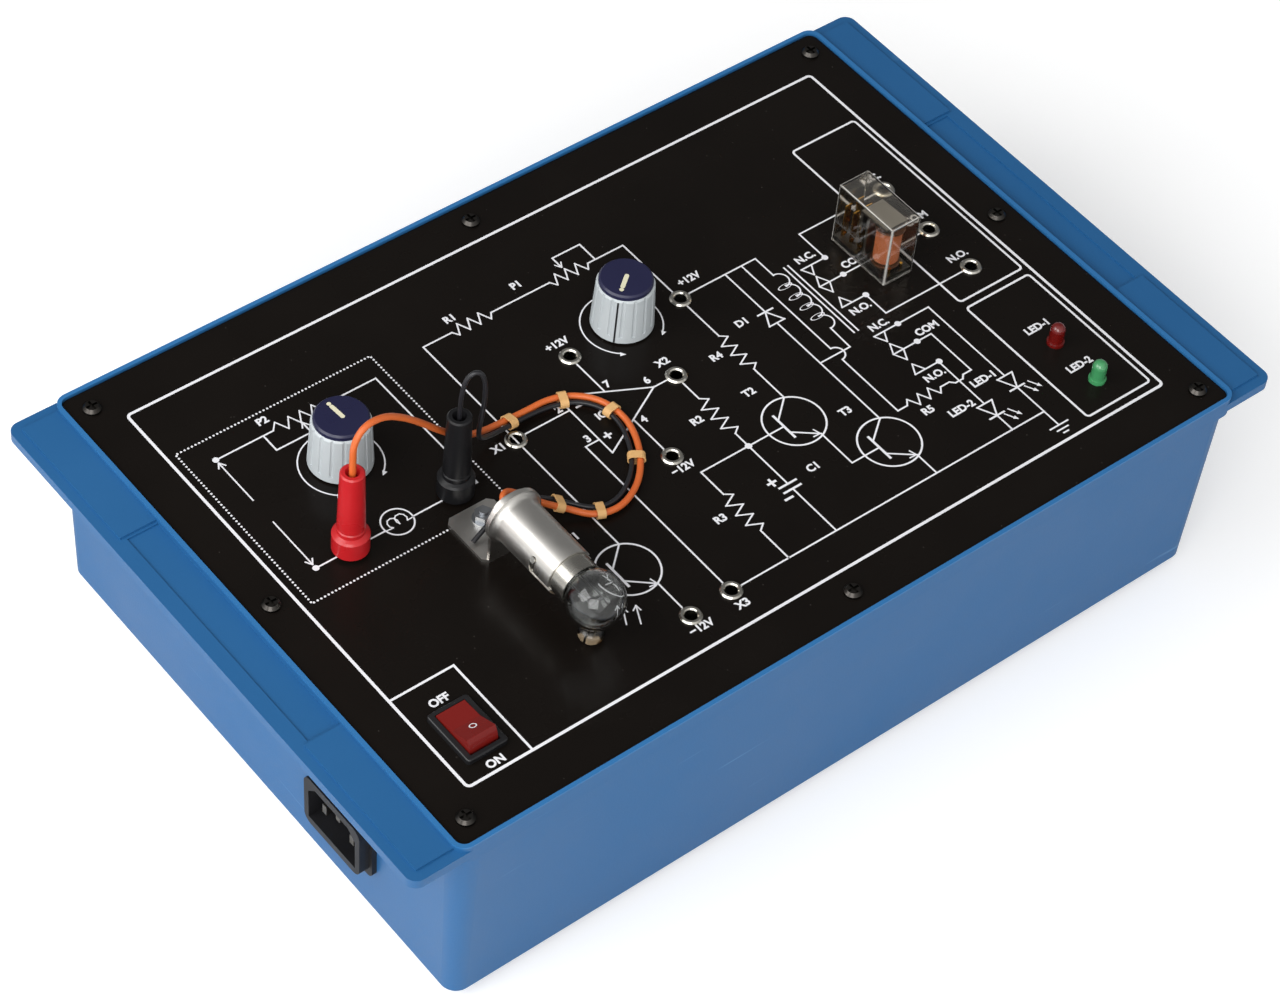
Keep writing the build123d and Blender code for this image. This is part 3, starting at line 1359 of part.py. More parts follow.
def transformer_frame():
    """The clamping strap over the core, with its two feet."""
    x, y = CORE_AT
    length, _, height = CORE_XYZ
    foot_x, foot_y, thick = CORE_FOOT
    z0 = core_floor()
    half = length / 2
    outer, top = half + thick, z0 + height + thick
    strap = block(x - outer, x + outer, y - foot_y / 2, y + foot_y / 2, z0 - thick, top)
    strap -= block(x - half, x + half, y - foot_y, y + foot_y, z0, z0 + height)
    strap += block(x - foot_x / 2, x + foot_x / 2, y - foot_y / 2, y + foot_y / 2, z0 - thick, z0)
    for px, py in core_bolt_places():
        strap -= rod(px, py, z0 - thick - 1, z0 + 1, SCREW_CLEARANCE_R)
    return strap


def floor_pillar_places():
    x, y = SUPPLY_AT
    half_x = SUPPLY_BOARD[0] / 2 - PILLAR_INSET
    half_y = SUPPLY_BOARD[1] / 2 - PILLAR_INSET
    return [(x + i * half_x, y + j * half_y) for i in (-1, 1) for j in (-1, 1)]


def supply_board():
    x, y = SUPPLY_AT
    z = FLOOR_TOP + PILLAR_HEIGHT
    half_x, half_y = SUPPLY_BOARD[0] / 2, SUPPLY_BOARD[1] / 2
    board = block(x - half_x, x + half_x, y - half_y, y + half_y, z, z + BOARD_T)
    for px, py in floor_pillar_places():
        board -= rod(px, py, z - 1, z + BOARD_T + 1, SCREW_CLEARANCE_R)
    return board


def inner_screws():
    """The screws that hold the transformer and the supply board to the floor's bosses."""
    board_z = FLOOR_TOP + PILLAR_HEIGHT + BOARD_T
    holding = [(x, y, board_z) for x, y in floor_pillar_places()]
    holding += [(x, y, core_floor()) for x, y in core_bolt_places()]
    return [Pos(x, y, z) * screw(z - FLOOR_TOP - 2) for x, y, z in holding]


def supply_capacitors():
    x, y = SUPPLY_AT
    z = FLOOR_TOP + PILLAR_HEIGHT + BOARD_T
    return [rod(x + shift, y + 12, z, z + CAPACITOR_HEIGHT, CAPACITOR_R) for shift in CAPACITOR_SHIFTS]


def supply_semiconductors():
    """Four rectifier diodes and two regulators, each with its tab on a sheet fin."""
    x, y = SUPPLY_AT
    z = FLOOR_TOP + PILLAR_HEIGHT + BOARD_T + 1.6
    pieces = []
    for i in range(4):
        body = Rot(0, 90, 0) * Cylinder(*DIODE_SIZE)
        for side in (-1, 1):
            body += Pos(side * 3.6, 0, 0) * Rot(0, 90, 0) * Cylinder(0.4, 2.2)
            body += Pos(side * 4.6, 0, -0.65) * Cylinder(0.4, 1.9)
        pieces.append(Pos(x - 36, y - 22 + DIODE_SPACING * i, z) * body)
    z = FLOOR_TOP + PILLAR_HEIGHT + BOARD_T
    for shift in FIN_SHIFTS:
        left = x + shift + FIN[0]
        body = block(left, left + 4.5, y - 5, y + 5, z + 4, z + 13)
        body += block(left, left + 1.3, y - 5, y + 5, z + 13, z + 19.5)
        for leg in (-2.5, 0, 2.5):
            body += block(left + 1.8, left + 2.4, y + leg - 0.4, y + leg + 0.4, z, z + 4)
        pieces.append(body)
    return pieces


def supply_fins():
    x, y = SUPPLY_AT
    z = FLOOR_TOP + PILLAR_HEIGHT + BOARD_T
    thick, wide, tall = FIN
    fins = []
    for shift in FIN_SHIFTS:
        left = x + shift
        fin = block(left, left + thick, y - wide / 2, y + wide / 2, z, z + tall)
        for side in (-1, 1):
            edge = y + side * (wide / 2 - thick / 2)
            fin += block(left, left + 8, edge - thick / 2, edge + thick / 2, z, z + tall)
        fins.append(fin)
    return fins


def build():
    os.makedirs("parts", exist_ok=True)
    save("case_tub", case_tub())
    save("face_panel", face_panel())
    save("panel_screws", *panel_screws())
    save("rubber_feet", *rubber_feet())
    save("foot_screws", *foot_screws())
    save("mains_inlet", mains_inlet())
    save("inlet_pins", *[on_left_wall(pin) for pin in inlet_pins()])
    save("switch_housing", switch_housing())
    save("switch_rocker", switch_rocker())
    save("switch_terminals", *switch_terminals())
    save("socket_barrels", *socket_barrels())
    save("panel_nuts", *panel_nuts())
    save("board_spacers", *board_spacers())
    dials = (
        ("intensity", INTENSITY_XY, INTENSITY_POT, INTENSITY_POINTER_DEG),
        ("sensitivity", SENSITIVITY_XY, SENSITIVITY_POT, SENSITIVITY_POINTER_DEG),
    )
    for name, place, pot, pointer in dials:
        save(f"{name}_pot_case", pot_case(place, pot))
        save(f"{name}_shaft", pot_shaft(place, pot))
        save(f"{name}_knob", knob(place, pointer))
        save(f"{name}_knob_cap", knob_cap(place))
    save("red_led", led(LED_XY[0]))
    save("green_led", led(LED_XY[1]))
    save("led_leads", *led_leads())
    save("phototransistor", phototransistor())
    save("phototransistor_leads", *phototransistor_leads())
    save("lamp_bracket", lamp_bracket())
    save("bracket_fixing", *bracket_fixing())
    save("lamp_holder", lamp_holder())
    save("holder_insulator", holder_insulator())
    save("holder_plunger", holder_plunger())
    save("holder_spring", holder_spring())
    save("bulb_cap", bulb_cap())
    save("bulb_glass", bulb_glass())
    save("bulb_filament", bulb_filament())
    save("red_plug", plug(LAMP_SOCKETS[0]))
    save("black_plug", plug(LAMP_SOCKETS[1]))
    save("plug_pins", *plug_pins())
    save("orange_lead", lead("orange_lead", ORANGE_ROUTE, ORANGE_R))
    save("black_lead", lead("black_lead", BLACK_ROUTE, BLACK_R))
    save("lead_ties", *lead_ties())
    save("relay_base", relay_base())
    save("relay_cover", relay_cover())
    save("relay_former", relay_former())
    save("relay_winding", relay_winding())
    save("relay_yoke", relay_yoke())
    save("relay_armature", relay_armature())
    save("relay_contacts", *relay_contacts())
    save("control_board", control_board())
    save("board_chip", board_chip())
    save("board_cans", *board_cans())
    save("board_resistors", *board_resistors())
    save("transformer_core", transformer_core())
    save("transformer_coil", transformer_coil())
    save("transformer_frame", transformer_frame())
    save("supply_board", supply_board())
    save("inner_screws", *inner_screws())
    save("supply_capacitors", *supply_capacitors())
    save("supply_semiconductors", *supply_semiconductors())
    save("supply_fins", *supply_fins())


build()
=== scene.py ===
import bmesh
import bpy
from itertools import cycle
from math import atan2, ceil, copysign, cos, pi, radians, sin
from mathutils import Matrix, Vector


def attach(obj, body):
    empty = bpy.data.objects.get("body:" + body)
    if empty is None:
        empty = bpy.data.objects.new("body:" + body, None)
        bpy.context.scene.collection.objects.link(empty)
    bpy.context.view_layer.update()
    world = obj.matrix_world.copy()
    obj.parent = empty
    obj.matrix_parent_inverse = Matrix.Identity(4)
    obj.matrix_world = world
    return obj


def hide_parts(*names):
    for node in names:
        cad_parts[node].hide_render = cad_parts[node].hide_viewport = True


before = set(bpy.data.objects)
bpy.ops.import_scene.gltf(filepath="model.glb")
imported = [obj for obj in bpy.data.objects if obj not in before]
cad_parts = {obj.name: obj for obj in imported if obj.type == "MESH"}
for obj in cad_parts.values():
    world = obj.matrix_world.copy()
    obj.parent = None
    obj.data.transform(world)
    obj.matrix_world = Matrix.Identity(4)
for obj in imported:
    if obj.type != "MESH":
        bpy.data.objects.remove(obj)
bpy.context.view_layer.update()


# Camera. A long lens held above the trainer's front left corner, a little out of level, as
# in the photograph. Its place was worked out from the panel's border, corners and screws.
turn, lift, roll = radians(-43.472), radians(48.487), radians(6.483)
back = Vector((sin(turn) * cos(lift), -cos(turn) * cos(lift), sin(lift)))
right = Vector((cos(turn), sin(turn), 0))
up = back.cross(right)
across_frame = right * cos(roll) + up * sin(roll)
up_frame = up * cos(roll) - right * sin(roll)
lens = bpy.data.cameras.new("camera")
lens.sensor_width, lens.sensor_fit, lens.lens = 36.0, "HORIZONTAL", 105.87
camera = bpy.data.objects.new("camera", lens)
aim_point, distance = Vector((-0.03072, -0.03118, 0.082)), 1.1672
facing = Matrix((across_frame, up_frame, back)).transposed().to_4x4()
camera.matrix_world = Matrix.Translation(aim_point + back * distance) @ facing
bpy.context.scene.collection.objects.link(camera)
bpy.context.scene.camera = camera


# Lamp leads. Two PVC insulated hook-up wires run from the lamp's plugs to its holder: the
# orange one to the centre contact, the black one to the bracket's foot. Both are soft and
# bend in wide curves, and six cream tape ties hold them side by side.
millimetres = Matrix.Scale(0.001, 4)
panel_top = 82.0
orange_radius, black_radius = 1.1, 0.8
orange_route = [
    (-115.4, 4.4, 32.5), (-115.4, 4.4, 40.5), (-115.2, 4.5, 47.6), (-111.0, 5.0, 52.6),
    (-103.4, 5.6, 51.6), (-95.8, 6.2, 45.8), (-88.2, 7.2, 37.8), (-80.6, 8.8, 28.5),
    (-72.6, 10.8, 19.5), (-64.6, 13.4, 11.6), (-56.2, 16.0, 6.0), (-47.0, 17.6, 3.2),
    (-38.0, 17.9, 2.2), (-28.6, 18.1, 2.0), (-20.4, 14.6, 2.0), (-15.0, 7.8, 2.0),
    (-13.4, -1.2, 2.0), (-15.6, -10.2, 2.0), (-21.0, -19.6, 2.0), (-28.6, -27.0, 2.0),
    (-38.4, -31.0, 2.0), (-47.2, -28.8, 2.1), (-52.8, -22.6, 3.3), (-58.4, -20.6, 6.8),
    (-63.8, -19.4, 11.4), (-68.8, -17.6, 16.0), (-72.6, -16.6, 18.8), (-75.4, -17.8, 19.7),
    (-76.6, -20.4, 18.0), (-76.6, -22.7, 18.0),
]
black_route = [
    (-75.6, 4.4, 32.5), (-75.6, 4.4, 38.0), (-75.6, 4.1, 44.4), (-75.2, 3.7, 49.2),
    (-74.2, 3.2, 52.6), (-72.4, 2.4, 54.4), (-70.6, 1.7, 53.8), (-69.4, 1.2, 50.8),
    (-68.9, 1.0, 46.0), (-68.8, 1.4, 39.0), (-68.5, 2.8, 31.0), (-67.4, 5.0, 22.6),
    (-64.2, 8.2, 14.6), (-58.4, 11.9, 8.2), (-51.2, 14.3, 4.4), (-43.6, 15.5, 2.8),
    (-36.0, 15.8, 2.1), (-28.4, 14.9, 1.9), (-21.3, 11.8, 1.9), (-17.0, 5.7, 1.9),
    (-16.1, -1.6, 1.9), (-18.3, -9.2, 1.9), (-22.8, -17.5, 1.9), (-29.8, -24.2, 1.9),
    (-38.2, -28.0, 1.9), (-45.4, -26.4, 1.9), (-50.6, -20.2, 2.4), (-56.0, -16.0, 4.4),
    (-62.8, -14.4, 7.2), (-69.8, -14.0, 8.2), (-76.2, -15.0, 6.4), (-81.0, -15.6, 3.9),
    (-84.4, -16.2, 2.3),
]


def wire_curve(name, points, radius):
    """A round wire on one smooth spline. Points and radius are in millimetres."""
    curve = bpy.data.curves.new(name, "CURVE")
    curve.dimensions = "3D"
    spline = curve.splines.new("NURBS")
    spline.points.add(len(points) - 1)
    for knot, (x, y, z) in zip(spline.points, points):
        knot.co = (x / 1000, y / 1000, z / 1000, 1)
    spline.order_u, spline.use_endpoint_u, spline.resolution_u = 3, True, 8
    curve.bevel_depth, curve.bevel_resolution, curve.use_fill_caps = radius / 1000, 4, True
    piece = bpy.data.objects.new(name, curve)
    bpy.context.scene.collection.objects.link(piece)
    return piece


def centre_line(piece):
    """The points along a wire's own spline."""
    bare = piece.data.copy()
    bare.bevel_depth = 0
    holder = bpy.data.objects.new("bare", bare)
    mesh = bpy.data.meshes.new_from_object(holder)
    points = [v.co.copy() for v in mesh.vertices]
    bpy.data.objects.remove(holder)
    return points


def tone(code):
    """An sRGB hex value as linear colour."""
    parts = [int(code[i : i + 2], 16) / 255 for i in (1, 3, 5)]
    return [c / 12.92 if c <= 0.04045 else ((c + 0.055) / 1.055) ** 2.4 for c in parts] + [1.0]


def connect(tree, node, inputs):
    """Sets or links a node's inputs."""
    for name, value in inputs.items():
        if isinstance(value, bpy.types.NodeSocket):
            tree.links.new(value, node.inputs[name])
        else:
            node.inputs[name].default_value = value
    return node


def add(tree, kind, settings, inputs):
    """Adds a node with its settings and links."""
    node = tree.nodes.new(kind)
    for name, value in settings.items():
        setattr(node, name, value)
    return connect(tree, node, inputs)


def new_finish(name):
    """A material with one shader, and where a point lies on its own piece, in metres."""
    material = bpy.data.materials.new(name)
    material.use_nodes = True
    tree = material.node_tree
    spot = add(tree, "ShaderNodeTexCoord", {}, {}).outputs["Object"]
    return material, tree, tree.nodes["Principled BSDF"], spot


# A noise lies mostly between these two values.
noise_low, noise_high = 0.3, 0.7
two_colours = {"data_type": "RGBA"}


def moulded(name, colour, shade, grain, depth, rough, sockets=None):
    """Plastic from a mould: a soft drift between two close colours, a fine grain in the
    surface, and a gloss that varies a little. Grain and depth are in millimetres."""
    material, tree, shader, spot = new_finish(name)
    drift = add(tree, "ShaderNodeTexNoise", {}, {"Vector": spot, "Scale": 1000 / 22, "Detail": 4})
    fac = drift.outputs["Fac"]
    mixed = add(tree, "ShaderNodeMix", two_colours, {0: fac, 6: tone(colour), 7: tone(shade)})
    limits = {1: noise_low, 2: noise_high, 3: rough - 0.06, 4: rough + 0.06}
    gloss = add(tree, "ShaderNodeMapRange", {}, {0: fac, **limits})
    pits = add(tree, "ShaderNodeTexNoise", {}, {"Vector": spot, "Scale": 1000 / grain, "Detail": 2})
    height = {"Height": pits.outputs["Fac"], "Distance": depth / 1000, "Strength": 1.0}
    relief = add(tree, "ShaderNodeBump", {}, height)
    connect(tree, shader, {
        "Base Color": mixed.outputs[2], "Roughness": gloss.outputs[0], "Normal": relief.outputs[0],
        **(sockets or {}),
    })
    return material


def dress(material, *nodes):
    """Gives a finish to CAD nodes."""
    for name in nodes:
        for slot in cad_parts[name].material_slots:
            slot.material = material


# PVC insulation is extruded, so it is smooth with a faint lengthwise unevenness and a
# dull plastic shine.
orange_pvc = moulded("extruded_orange_pvc", "#DB6F33", "#CB5B24", grain=0.9, depth=0.03, rough=0.42)
black_pvc = moulded("extruded_black_pvc", "#17171A", "#222226", grain=0.9, depth=0.03, rough=0.38)
orange_points = [(x, y, panel_top + z) for x, y, z in orange_route]
black_points = [(x, y, panel_top + z) for x, y, z in black_route]
orange_lead = wire_curve("orange_lead_wire", orange_points, orange_radius)
black_lead = wire_curve("black_lead_wire", black_points, black_radius)
for piece, finish, node, slot_name in (
    (orange_lead, orange_pvc, "orange_lead", "orange_pvc"),
    (black_lead, black_pvc, "black_lead", "black_pvc"),
):
    piece.data.materials.append(finish)
    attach(piece, "case")
    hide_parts(node)


def shape(name, bm, material, body, flat=False):
    """Ends a piece: merges doubles, turns its faces out, or up on a flat one, and sets it on
    its CAD body."""
    bmesh.ops.remove_doubles(bm, verts=bm.verts, dist=1e-6)
    if flat:
        bmesh.ops.reverse_faces(bm, faces=[face for face in bm.faces if face.normal.z < 0])
    else:
        bmesh.ops.recalc_face_normals(bm, faces=bm.faces)
    mesh = bpy.data.meshes.new(name)
    bm.to_mesh(mesh)
    bm.free()
    mesh.materials.append(material)
    piece = bpy.data.objects.new(name, mesh)
    bpy.context.scene.collection.objects.link(piece)
    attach(piece, body)
    return piece


# Lead ties. Six bands of cream paper tape, each wrapped once round both wires. The paper is
# dull and a little browner in its folds.
tie_tape = moulded("wrapped_cream_tape", "#E8BC80", "#CF9A5A", grain=0.5, depth=0.08, rough=0.6)
tie_spots = (
    (-46.0, 17.3), (-24.9, 16.4), (-13.9, 3.4), (-20.8, -17.8), (-44.5, -28.9), (-54.8, -21.0),
)
tie_width, tie_wall, tie_slack = 2.8, 0.4, 0.25
orange_line, black_line = centre_line(orange_lead), centre_line(black_lead)
ties = bmesh.new()
for x, y in tie_spots:
    spot = Vector((x / 1000, y / 1000))
    i = min(range(1, len(orange_line) - 1), key=lambda k: (orange_line[k].xy - spot).length)
    at = orange_line[i]
    j = min(range(1, len(black_line) - 1), key=lambda k: (black_line[k] - at).length)
    runs = (orange_line[i + 1] - orange_line[i - 1], black_line[j + 1] - black_line[j - 1])
    along = (runs[0].normalized() + runs[1].normalized()).normalized()
    side = black_line[j] - at
    side -= along * side.dot(along)
    reach = side.length * 1000
    radius = orange_radius + tie_slack
    straight = (reach + orange_radius + black_radius + 2 * tie_slack) / 2 - radius
    band = bmesh.ops.create_cone(
        ties, cap_ends=False, segments=32, radius1=radius, radius2=radius, depth=tie_width
    )["verts"]
    for v in band:
        v.co.x += copysign(straight, v.co.x)
    faces = list({f for v in band for f in v.link_faces})
    walls = bmesh.ops.solidify(ties, geom=faces, thickness=-tie_wall)["geom"]
    inner_verts = {g for g in walls if isinstance(g, bmesh.types.BMVert)}
    verts = list({v for f in faces for v in f.verts} | inner_verts)
    side.normalize()
    middle = at * 1000 + side * straight
    turned = Matrix((side, along.cross(side), along)).transposed().to_4x4()
    where = millimetres @ Matrix.Translation(middle) @ turned
    bmesh.ops.transform(ties, matrix=where, verts=verts)
ties = shape("lead_tie_bands", ties, tie_tape, "case")
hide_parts("lead_ties")


# Case tub. One injection moulding in mid blue ABS, with two carrying flanges. The walls
# have a fine spark-eroded grain, and the rim's top is painted a lighter blue as a highlight.
material, tree, shader, spot = new_finish("moulded_blue_abs")
drift = add(tree, "ShaderNodeTexNoise", {}, {"Vector": spot, "Scale": 1000 / 60, "Detail": 5})
fac = drift.outputs["Fac"]
blues = {0: fac, 6: tone("#20598B"), 7: tone("#256195")}
body_blue = add(tree, "ShaderNodeMix", two_colours, blues)
# The rim stands 1 mm above the panel; its top is painted lighter blue as a highlight.
height = add(tree, "ShaderNodeSeparateXYZ", {}, {0: spot}).outputs["Z"]
painted_rim_highlight = add(tree, "ShaderNodeMapRange", {}, {0: height, 1: 0.0820, 2: 0.0829, 3: 0.0, 4: 0.75})
rim_highlight_mix = {0: painted_rim_highlight.outputs[0], 6: body_blue.outputs[2], 7: tone("#3174AE")}
rim_highlighted = add(tree, "ShaderNodeMix", two_colours, rim_highlight_mix)
# Scuffs are thin pale strokes a few centimetres long, where the case has slid on a bench.
drawn_out = {"Vector": spot, "Scale": (14, 22, 420), "Rotation": (0.2, 0.35, 0.1)}
stretch = add(tree, "ShaderNodeMapping", {}, drawn_out)
broken = {"Vector": stretch.outputs[0], "Scale": 1.0, "Detail": 2, "Roughness": 0.7}
strokes = add(tree, "ShaderNodeTexNoise", {}, broken).outputs["Fac"]
scuff = add(tree, "ShaderNodeMapRange", {}, {0: strokes, 1: 0.70, 2: 0.76, 3: 0.0, 4: 0.35})
scraped = {0: scuff.outputs[0], 6: rim_highlighted.outputs[2], 7: tone("#6FA0CC")}
scuffed = add(tree, "ShaderNodeMix", two_colours, scraped)
limits = {1: noise_low, 2: noise_high, 3: 0.36, 4: 0.5}
gloss = add(tree, "ShaderNodeMapRange", {}, {0: fac, **limits})
# Spark-eroded grain is about 0.2 mm; it is drawn at 0.7 mm so that it shows.
grain = add(tree, "ShaderNodeTexNoise", {}, {"Vector": spot, "Scale": 1000 / 0.7, "Detail": 3})
pits = {"Height": grain.outputs["Fac"], "Distance": 0.00006, "Strength": 0.6}
relief = add(tree, "ShaderNodeBump", {}, pits)
connect(tree, shader, {
    "Base Color": scuffed.outputs[2], "Roughness": gloss.outputs[0], "Normal": relief.outputs[0],
    "Specular IOR Level": 0.38,
})
dress(material, "case_tub")


# Face panel. A sheet of black phenolic laminate, pressed glossy, with the circuit screen
# printed on it in white. Its shine is broken by fine rub marks and a few dust specks.
material, tree, shader, spot = new_finish("glossy_black_phenolic")
drift = add(tree, "ShaderNodeTexNoise", {}, {"Vector": spot, "Scale": 1000 / 35, "Detail": 5})
fac = drift.outputs["Fac"]
blacks = add(tree, "ShaderNodeMix", two_colours, {0: fac, 6: tone("#100D0B"), 7: tone("#16120F")})
# Dust specks are 0.2 to 0.4 mm across and sparse.
sparse = {"Vector": spot, "Scale": 1000 / 6, "Randomness": 1.0}
dust = add(tree, "ShaderNodeTexVoronoi", {}, sparse).outputs["Distance"]
speck = add(tree, "ShaderNodeMapRange", {}, {0: dust, 1: 0.03, 2: 0.045, 3: 0.5, 4: 0.0})
specks = {0: speck.outputs[0], 6: blacks.outputs[2], 7: tone("#4A4642")}
dusty = add(tree, "ShaderNodeMix", two_colours, specks)
limits = {1: noise_low, 2: noise_high, 3: 0.2, 4: 0.34}
gloss = add(tree, "ShaderNodeMapRange", {}, {0: fac, **limits})
rub = add(tree, "ShaderNodeTexNoise", {}, {"Vector": spot, "Scale": 1000 / 2.5, "Detail": 2})
waves = {"Height": rub.outputs["Fac"], "Distance": 0.00002, "Strength": 0.5}
relief = add(tree, "ShaderNodeBump", {}, waves)
connect(tree, shader, {
    "Base Color": dusty.outputs[2], "Roughness": gloss.outputs[0], "Normal": relief.outputs[0],
    "Specular IOR Level": 0.12, "IOR": 1.5,
})
dress(material, "face_panel")


# Printed circuit on the panel. White screen ink, a fiftieth of a millimetre thick: a
# border, the lamp's and the relay's boxes, and the wiring with its standard signs. Each
# stroke lies a hair above the last, as ink over ink does.
ink_height = panel_top + 0.02
layer_step = 0.004
ink_layers = cycle([layer_step * i for i in range(16)])
top_layer = ink_height + 0.07
white_ink = moulded("white_screen_ink", "#F2F2F4", "#E2E2E8", grain=0.4, depth=0.01, rough=0.55)
ink = bmesh.new()


def stroke(points, width=0.6):
    """A line of ink through points, its ends and corners square."""
    for (x0, y0), (x1, y1) in zip(points, points[1:]):
        run = Vector((x1 - x0, y1 - y0))
        where = Matrix.Translation(((x0 + x1) / 2, (y0 + y1) / 2, ink_height + next(ink_layers)))
        size = Matrix.Diagonal((run.length + 0.9 * width, width, 1, 1))
        turned = where @ Matrix.Rotation(atan2(run.y, run.x), 4, "Z") @ size
        matrix = millimetres @ turned
        bmesh.ops.create_grid(ink, x_segments=1, y_segments=1, size=0.5, matrix=matrix)


def arc(x, y, radius, start=0, end=360, width=0.6, flat=1.0):
    """A ring or part of one, swept as one ribbon and squashed in height by flat."""
    before = set(ink.verts)
    edge = [ink.verts.new((radius + side * width / 2, 0, 0)) for side in (-1, 1)]
    edge.append(ink.edges.new(edge))
    sweep, degrees_per_step = end - start, 7.5
    bmesh.ops.spin(
        ink, geom=edge, axis=(0, 0, 1), cent=(0, 0, 0), angle=radians(sweep),
        steps=max(6, ceil(abs(sweep) / degrees_per_step)), use_merge=sweep == 360,
    )
    where = millimetres @ Matrix.Translation((x, y, ink_height + next(ink_layers)))
    where = where @ Matrix.Diagonal((1, flat, 1, 1)) @ Matrix.Rotation(radians(start), 4, "Z")
    bmesh.ops.transform(ink, matrix=where, verts=[v for v in ink.verts if v not in before])


def dot(x, y, radius=1.0):
    """A filled joint dot."""
    where = millimetres @ Matrix.Translation((x, y, top_layer))
    bmesh.ops.create_circle(ink, cap_ends=True, segments=24, radius=radius, matrix=where)


def solid_arrow(x, y, heading, size=2.0):
    """A filled arrow head with its tip at x, y."""
    radius = size * 0.67
    where = Matrix.Translation((x, y, top_layer)) @ Matrix.Rotation(radians(heading), 4, "Z")
    where = where @ Matrix.Diagonal((1, 0.75, 1, 1)) @ Matrix.Translation((-radius, 0, 0))
    point = millimetres @ where @ Matrix.Rotation(radians(-90), 4, "Z")
    bmesh.ops.create_circle(ink, cap_ends=True, segments=3, radius=radius, matrix=point)


def open_arrow(x, y, heading, size=2.4, half=32):
    """An arrow head drawn as two barbs, with its tip at x, y."""
    for side in (-half, half):
        a = radians(heading + 180 + side)
        stroke([(x, y), (x + size * cos(a), y + size * sin(a))], 0.5)


def resistor(x0, y0, x1, y1, half=2.3, peaks=7):
    """A resistor's zigzag between two points, its first peak to the side that half leans."""
    run = Vector((x1 - x0, y1 - y0))
    side = Vector((run.y, -run.x)).normalized() * half
    points = [(x0, y0)]
    for i in range(peaks):
        along = run * ((i + 0.75) / (peaks + 0.5))
        points.append(tuple(Vector((x0, y0)) + along + side * (-1 if i % 2 else 1)))
    stroke(points + [(x1, y1)], 0.55)


def letters(text, x, y, high=2.9):
    """Bold printed letters, centred on x, y."""
    curve = bpy.data.curves.new("letters", "FONT")
    curve.body, curve.align_x, curve.align_y = text, "CENTER", "CENTER"
    # The font's capitals are 1 / 1.38 of its size, and the offset makes them bold.
    curve.size, curve.offset, curve.resolution_u = high * 1.38, 0.16, 3
    holder = bpy.data.objects.new("letters", curve)
    mesh = bpy.data.meshes.new_from_object(holder)
    mesh.transform(millimetres @ Matrix.Translation((x, y, ink_height)))
    ink.from_mesh(mesh)
    bpy.data.objects.remove(holder)
    bpy.data.meshes.remove(mesh)


def rounded_box(x0, y0, x1, y1, radius, width):
    """A box of ink with rounded corners."""
    stroke([(x0 + radius, y0), (x1 - radius, y0)], width)
    stroke([(x0 + radius, y1), (x1 - radius, y1)], width)
    stroke([(x0, y0 + radius), (x0, y1 - radius)], width)
    stroke([(x1, y0 + radius), (x1, y1 - radius)], width)
    west, east, south, north = x0 + radius, x1 - radius, y0 + radius, y1 - radius
    corners = ((east, north, 0), (west, north, 90), (west, south, 180), (east, south, 270))
    for x, y, start in corners:
        arc(x, y, radius, start, start + 90, width)


rounded_box(-140.5, -88.6, 140.5, 88.8, radius=1.5, width=1.0)
rounded_box(110.4, -23.3, 138.2, 62.7, radius=1.3, width=0.8)
rounded_box(110.2, -85.2, 138.0, -26.5, radius=1.3, width=0.8)
# The switch's box shares the border's corner.
stroke([(-140.5, -49.9), (-116.8, -49.9), (-116.8, -88.6)], 0.8)
letters("OFF", -128.2, -58.1)
letters("ON", -128.2, -85.7)
# The lamp circuit stands in a dotted box.
dot_spacing = 1.35
for x0, y0, x1, y1 in (
    (-136.6, 66.5, -63.8, 66.5), (-63.1, 65.9, -63.1, -5.8),
    (-63.8, -6.4, -136.6, -6.4), (-137.3, -5.8, -137.3, 65.9),
):
    count = round(Vector((x1 - x0, y1 - y0)).length / dot_spacing)
    for i in range(count + 1):
        dot(x0 + (x1 - x0) * i / count, y0 + (y1 - y0) * i / count, 0.38)
for y in (57.7, 4.3):
    dot(-128.3, y, 1.1)
stroke([(-128.3, 56.2), (-128.3, 37.5)], 0.5)
stroke([(-128.3, 26.8), (-128.3, 6.0)], 0.5)
open_arrow(-128.3, 56.2, 90)
open_arrow(-128.3, 6.0, -90)
stroke([(-128.3, 57.7), (-106.7, 57.7)])
stroke(
    [
        (-106.7, 57.7), (-104.3, 60.4), (-102.1, 55.7), (-99.5, 60.0), (-97.5, 55.6), (-95.2, 60.0),
        (-93.1, 55.7), (-90.7, 60.0), (-88.6, 55.7), (-87.2, 57.7),
    ], 0.5,
)
stroke([(-87.2, 57.7), (-67.3, 57.7), (-67.3, 4.1), (-68.9, 4.1)])
stroke([(-110.5, 57.7), (-110.5, 50.4), (-97.3, 50.4), (-97.3, 55.4)])
open_arrow(-97.3, 55.5, 90)
stroke([(-128.3, 4.3), (-102.5, 4.3)])
stroke([(-91.9, 4.3), (-79.5, 4.3)])
arc(-97.1, 5.2, 5.3, width=0.55)
stroke(
    [
        (-102.5, 4.1), (-99.6, 3.9), (-100.3, 4.8), (-100.3, 6.1), (-99.6, 7.2), (-98.3, 7.5),
        (-97.3, 7.0), (-96.8, 5.7), (-97.0, 4.2), (-97.4, 5.2), (-97.2, 6.7), (-96.2, 7.5),
        (-94.8, 7.5), (-93.9, 6.6), (-93.6, 5.2), (-94.2, 4.0), (-91.9, 4.1),
    ], 0.45,
)
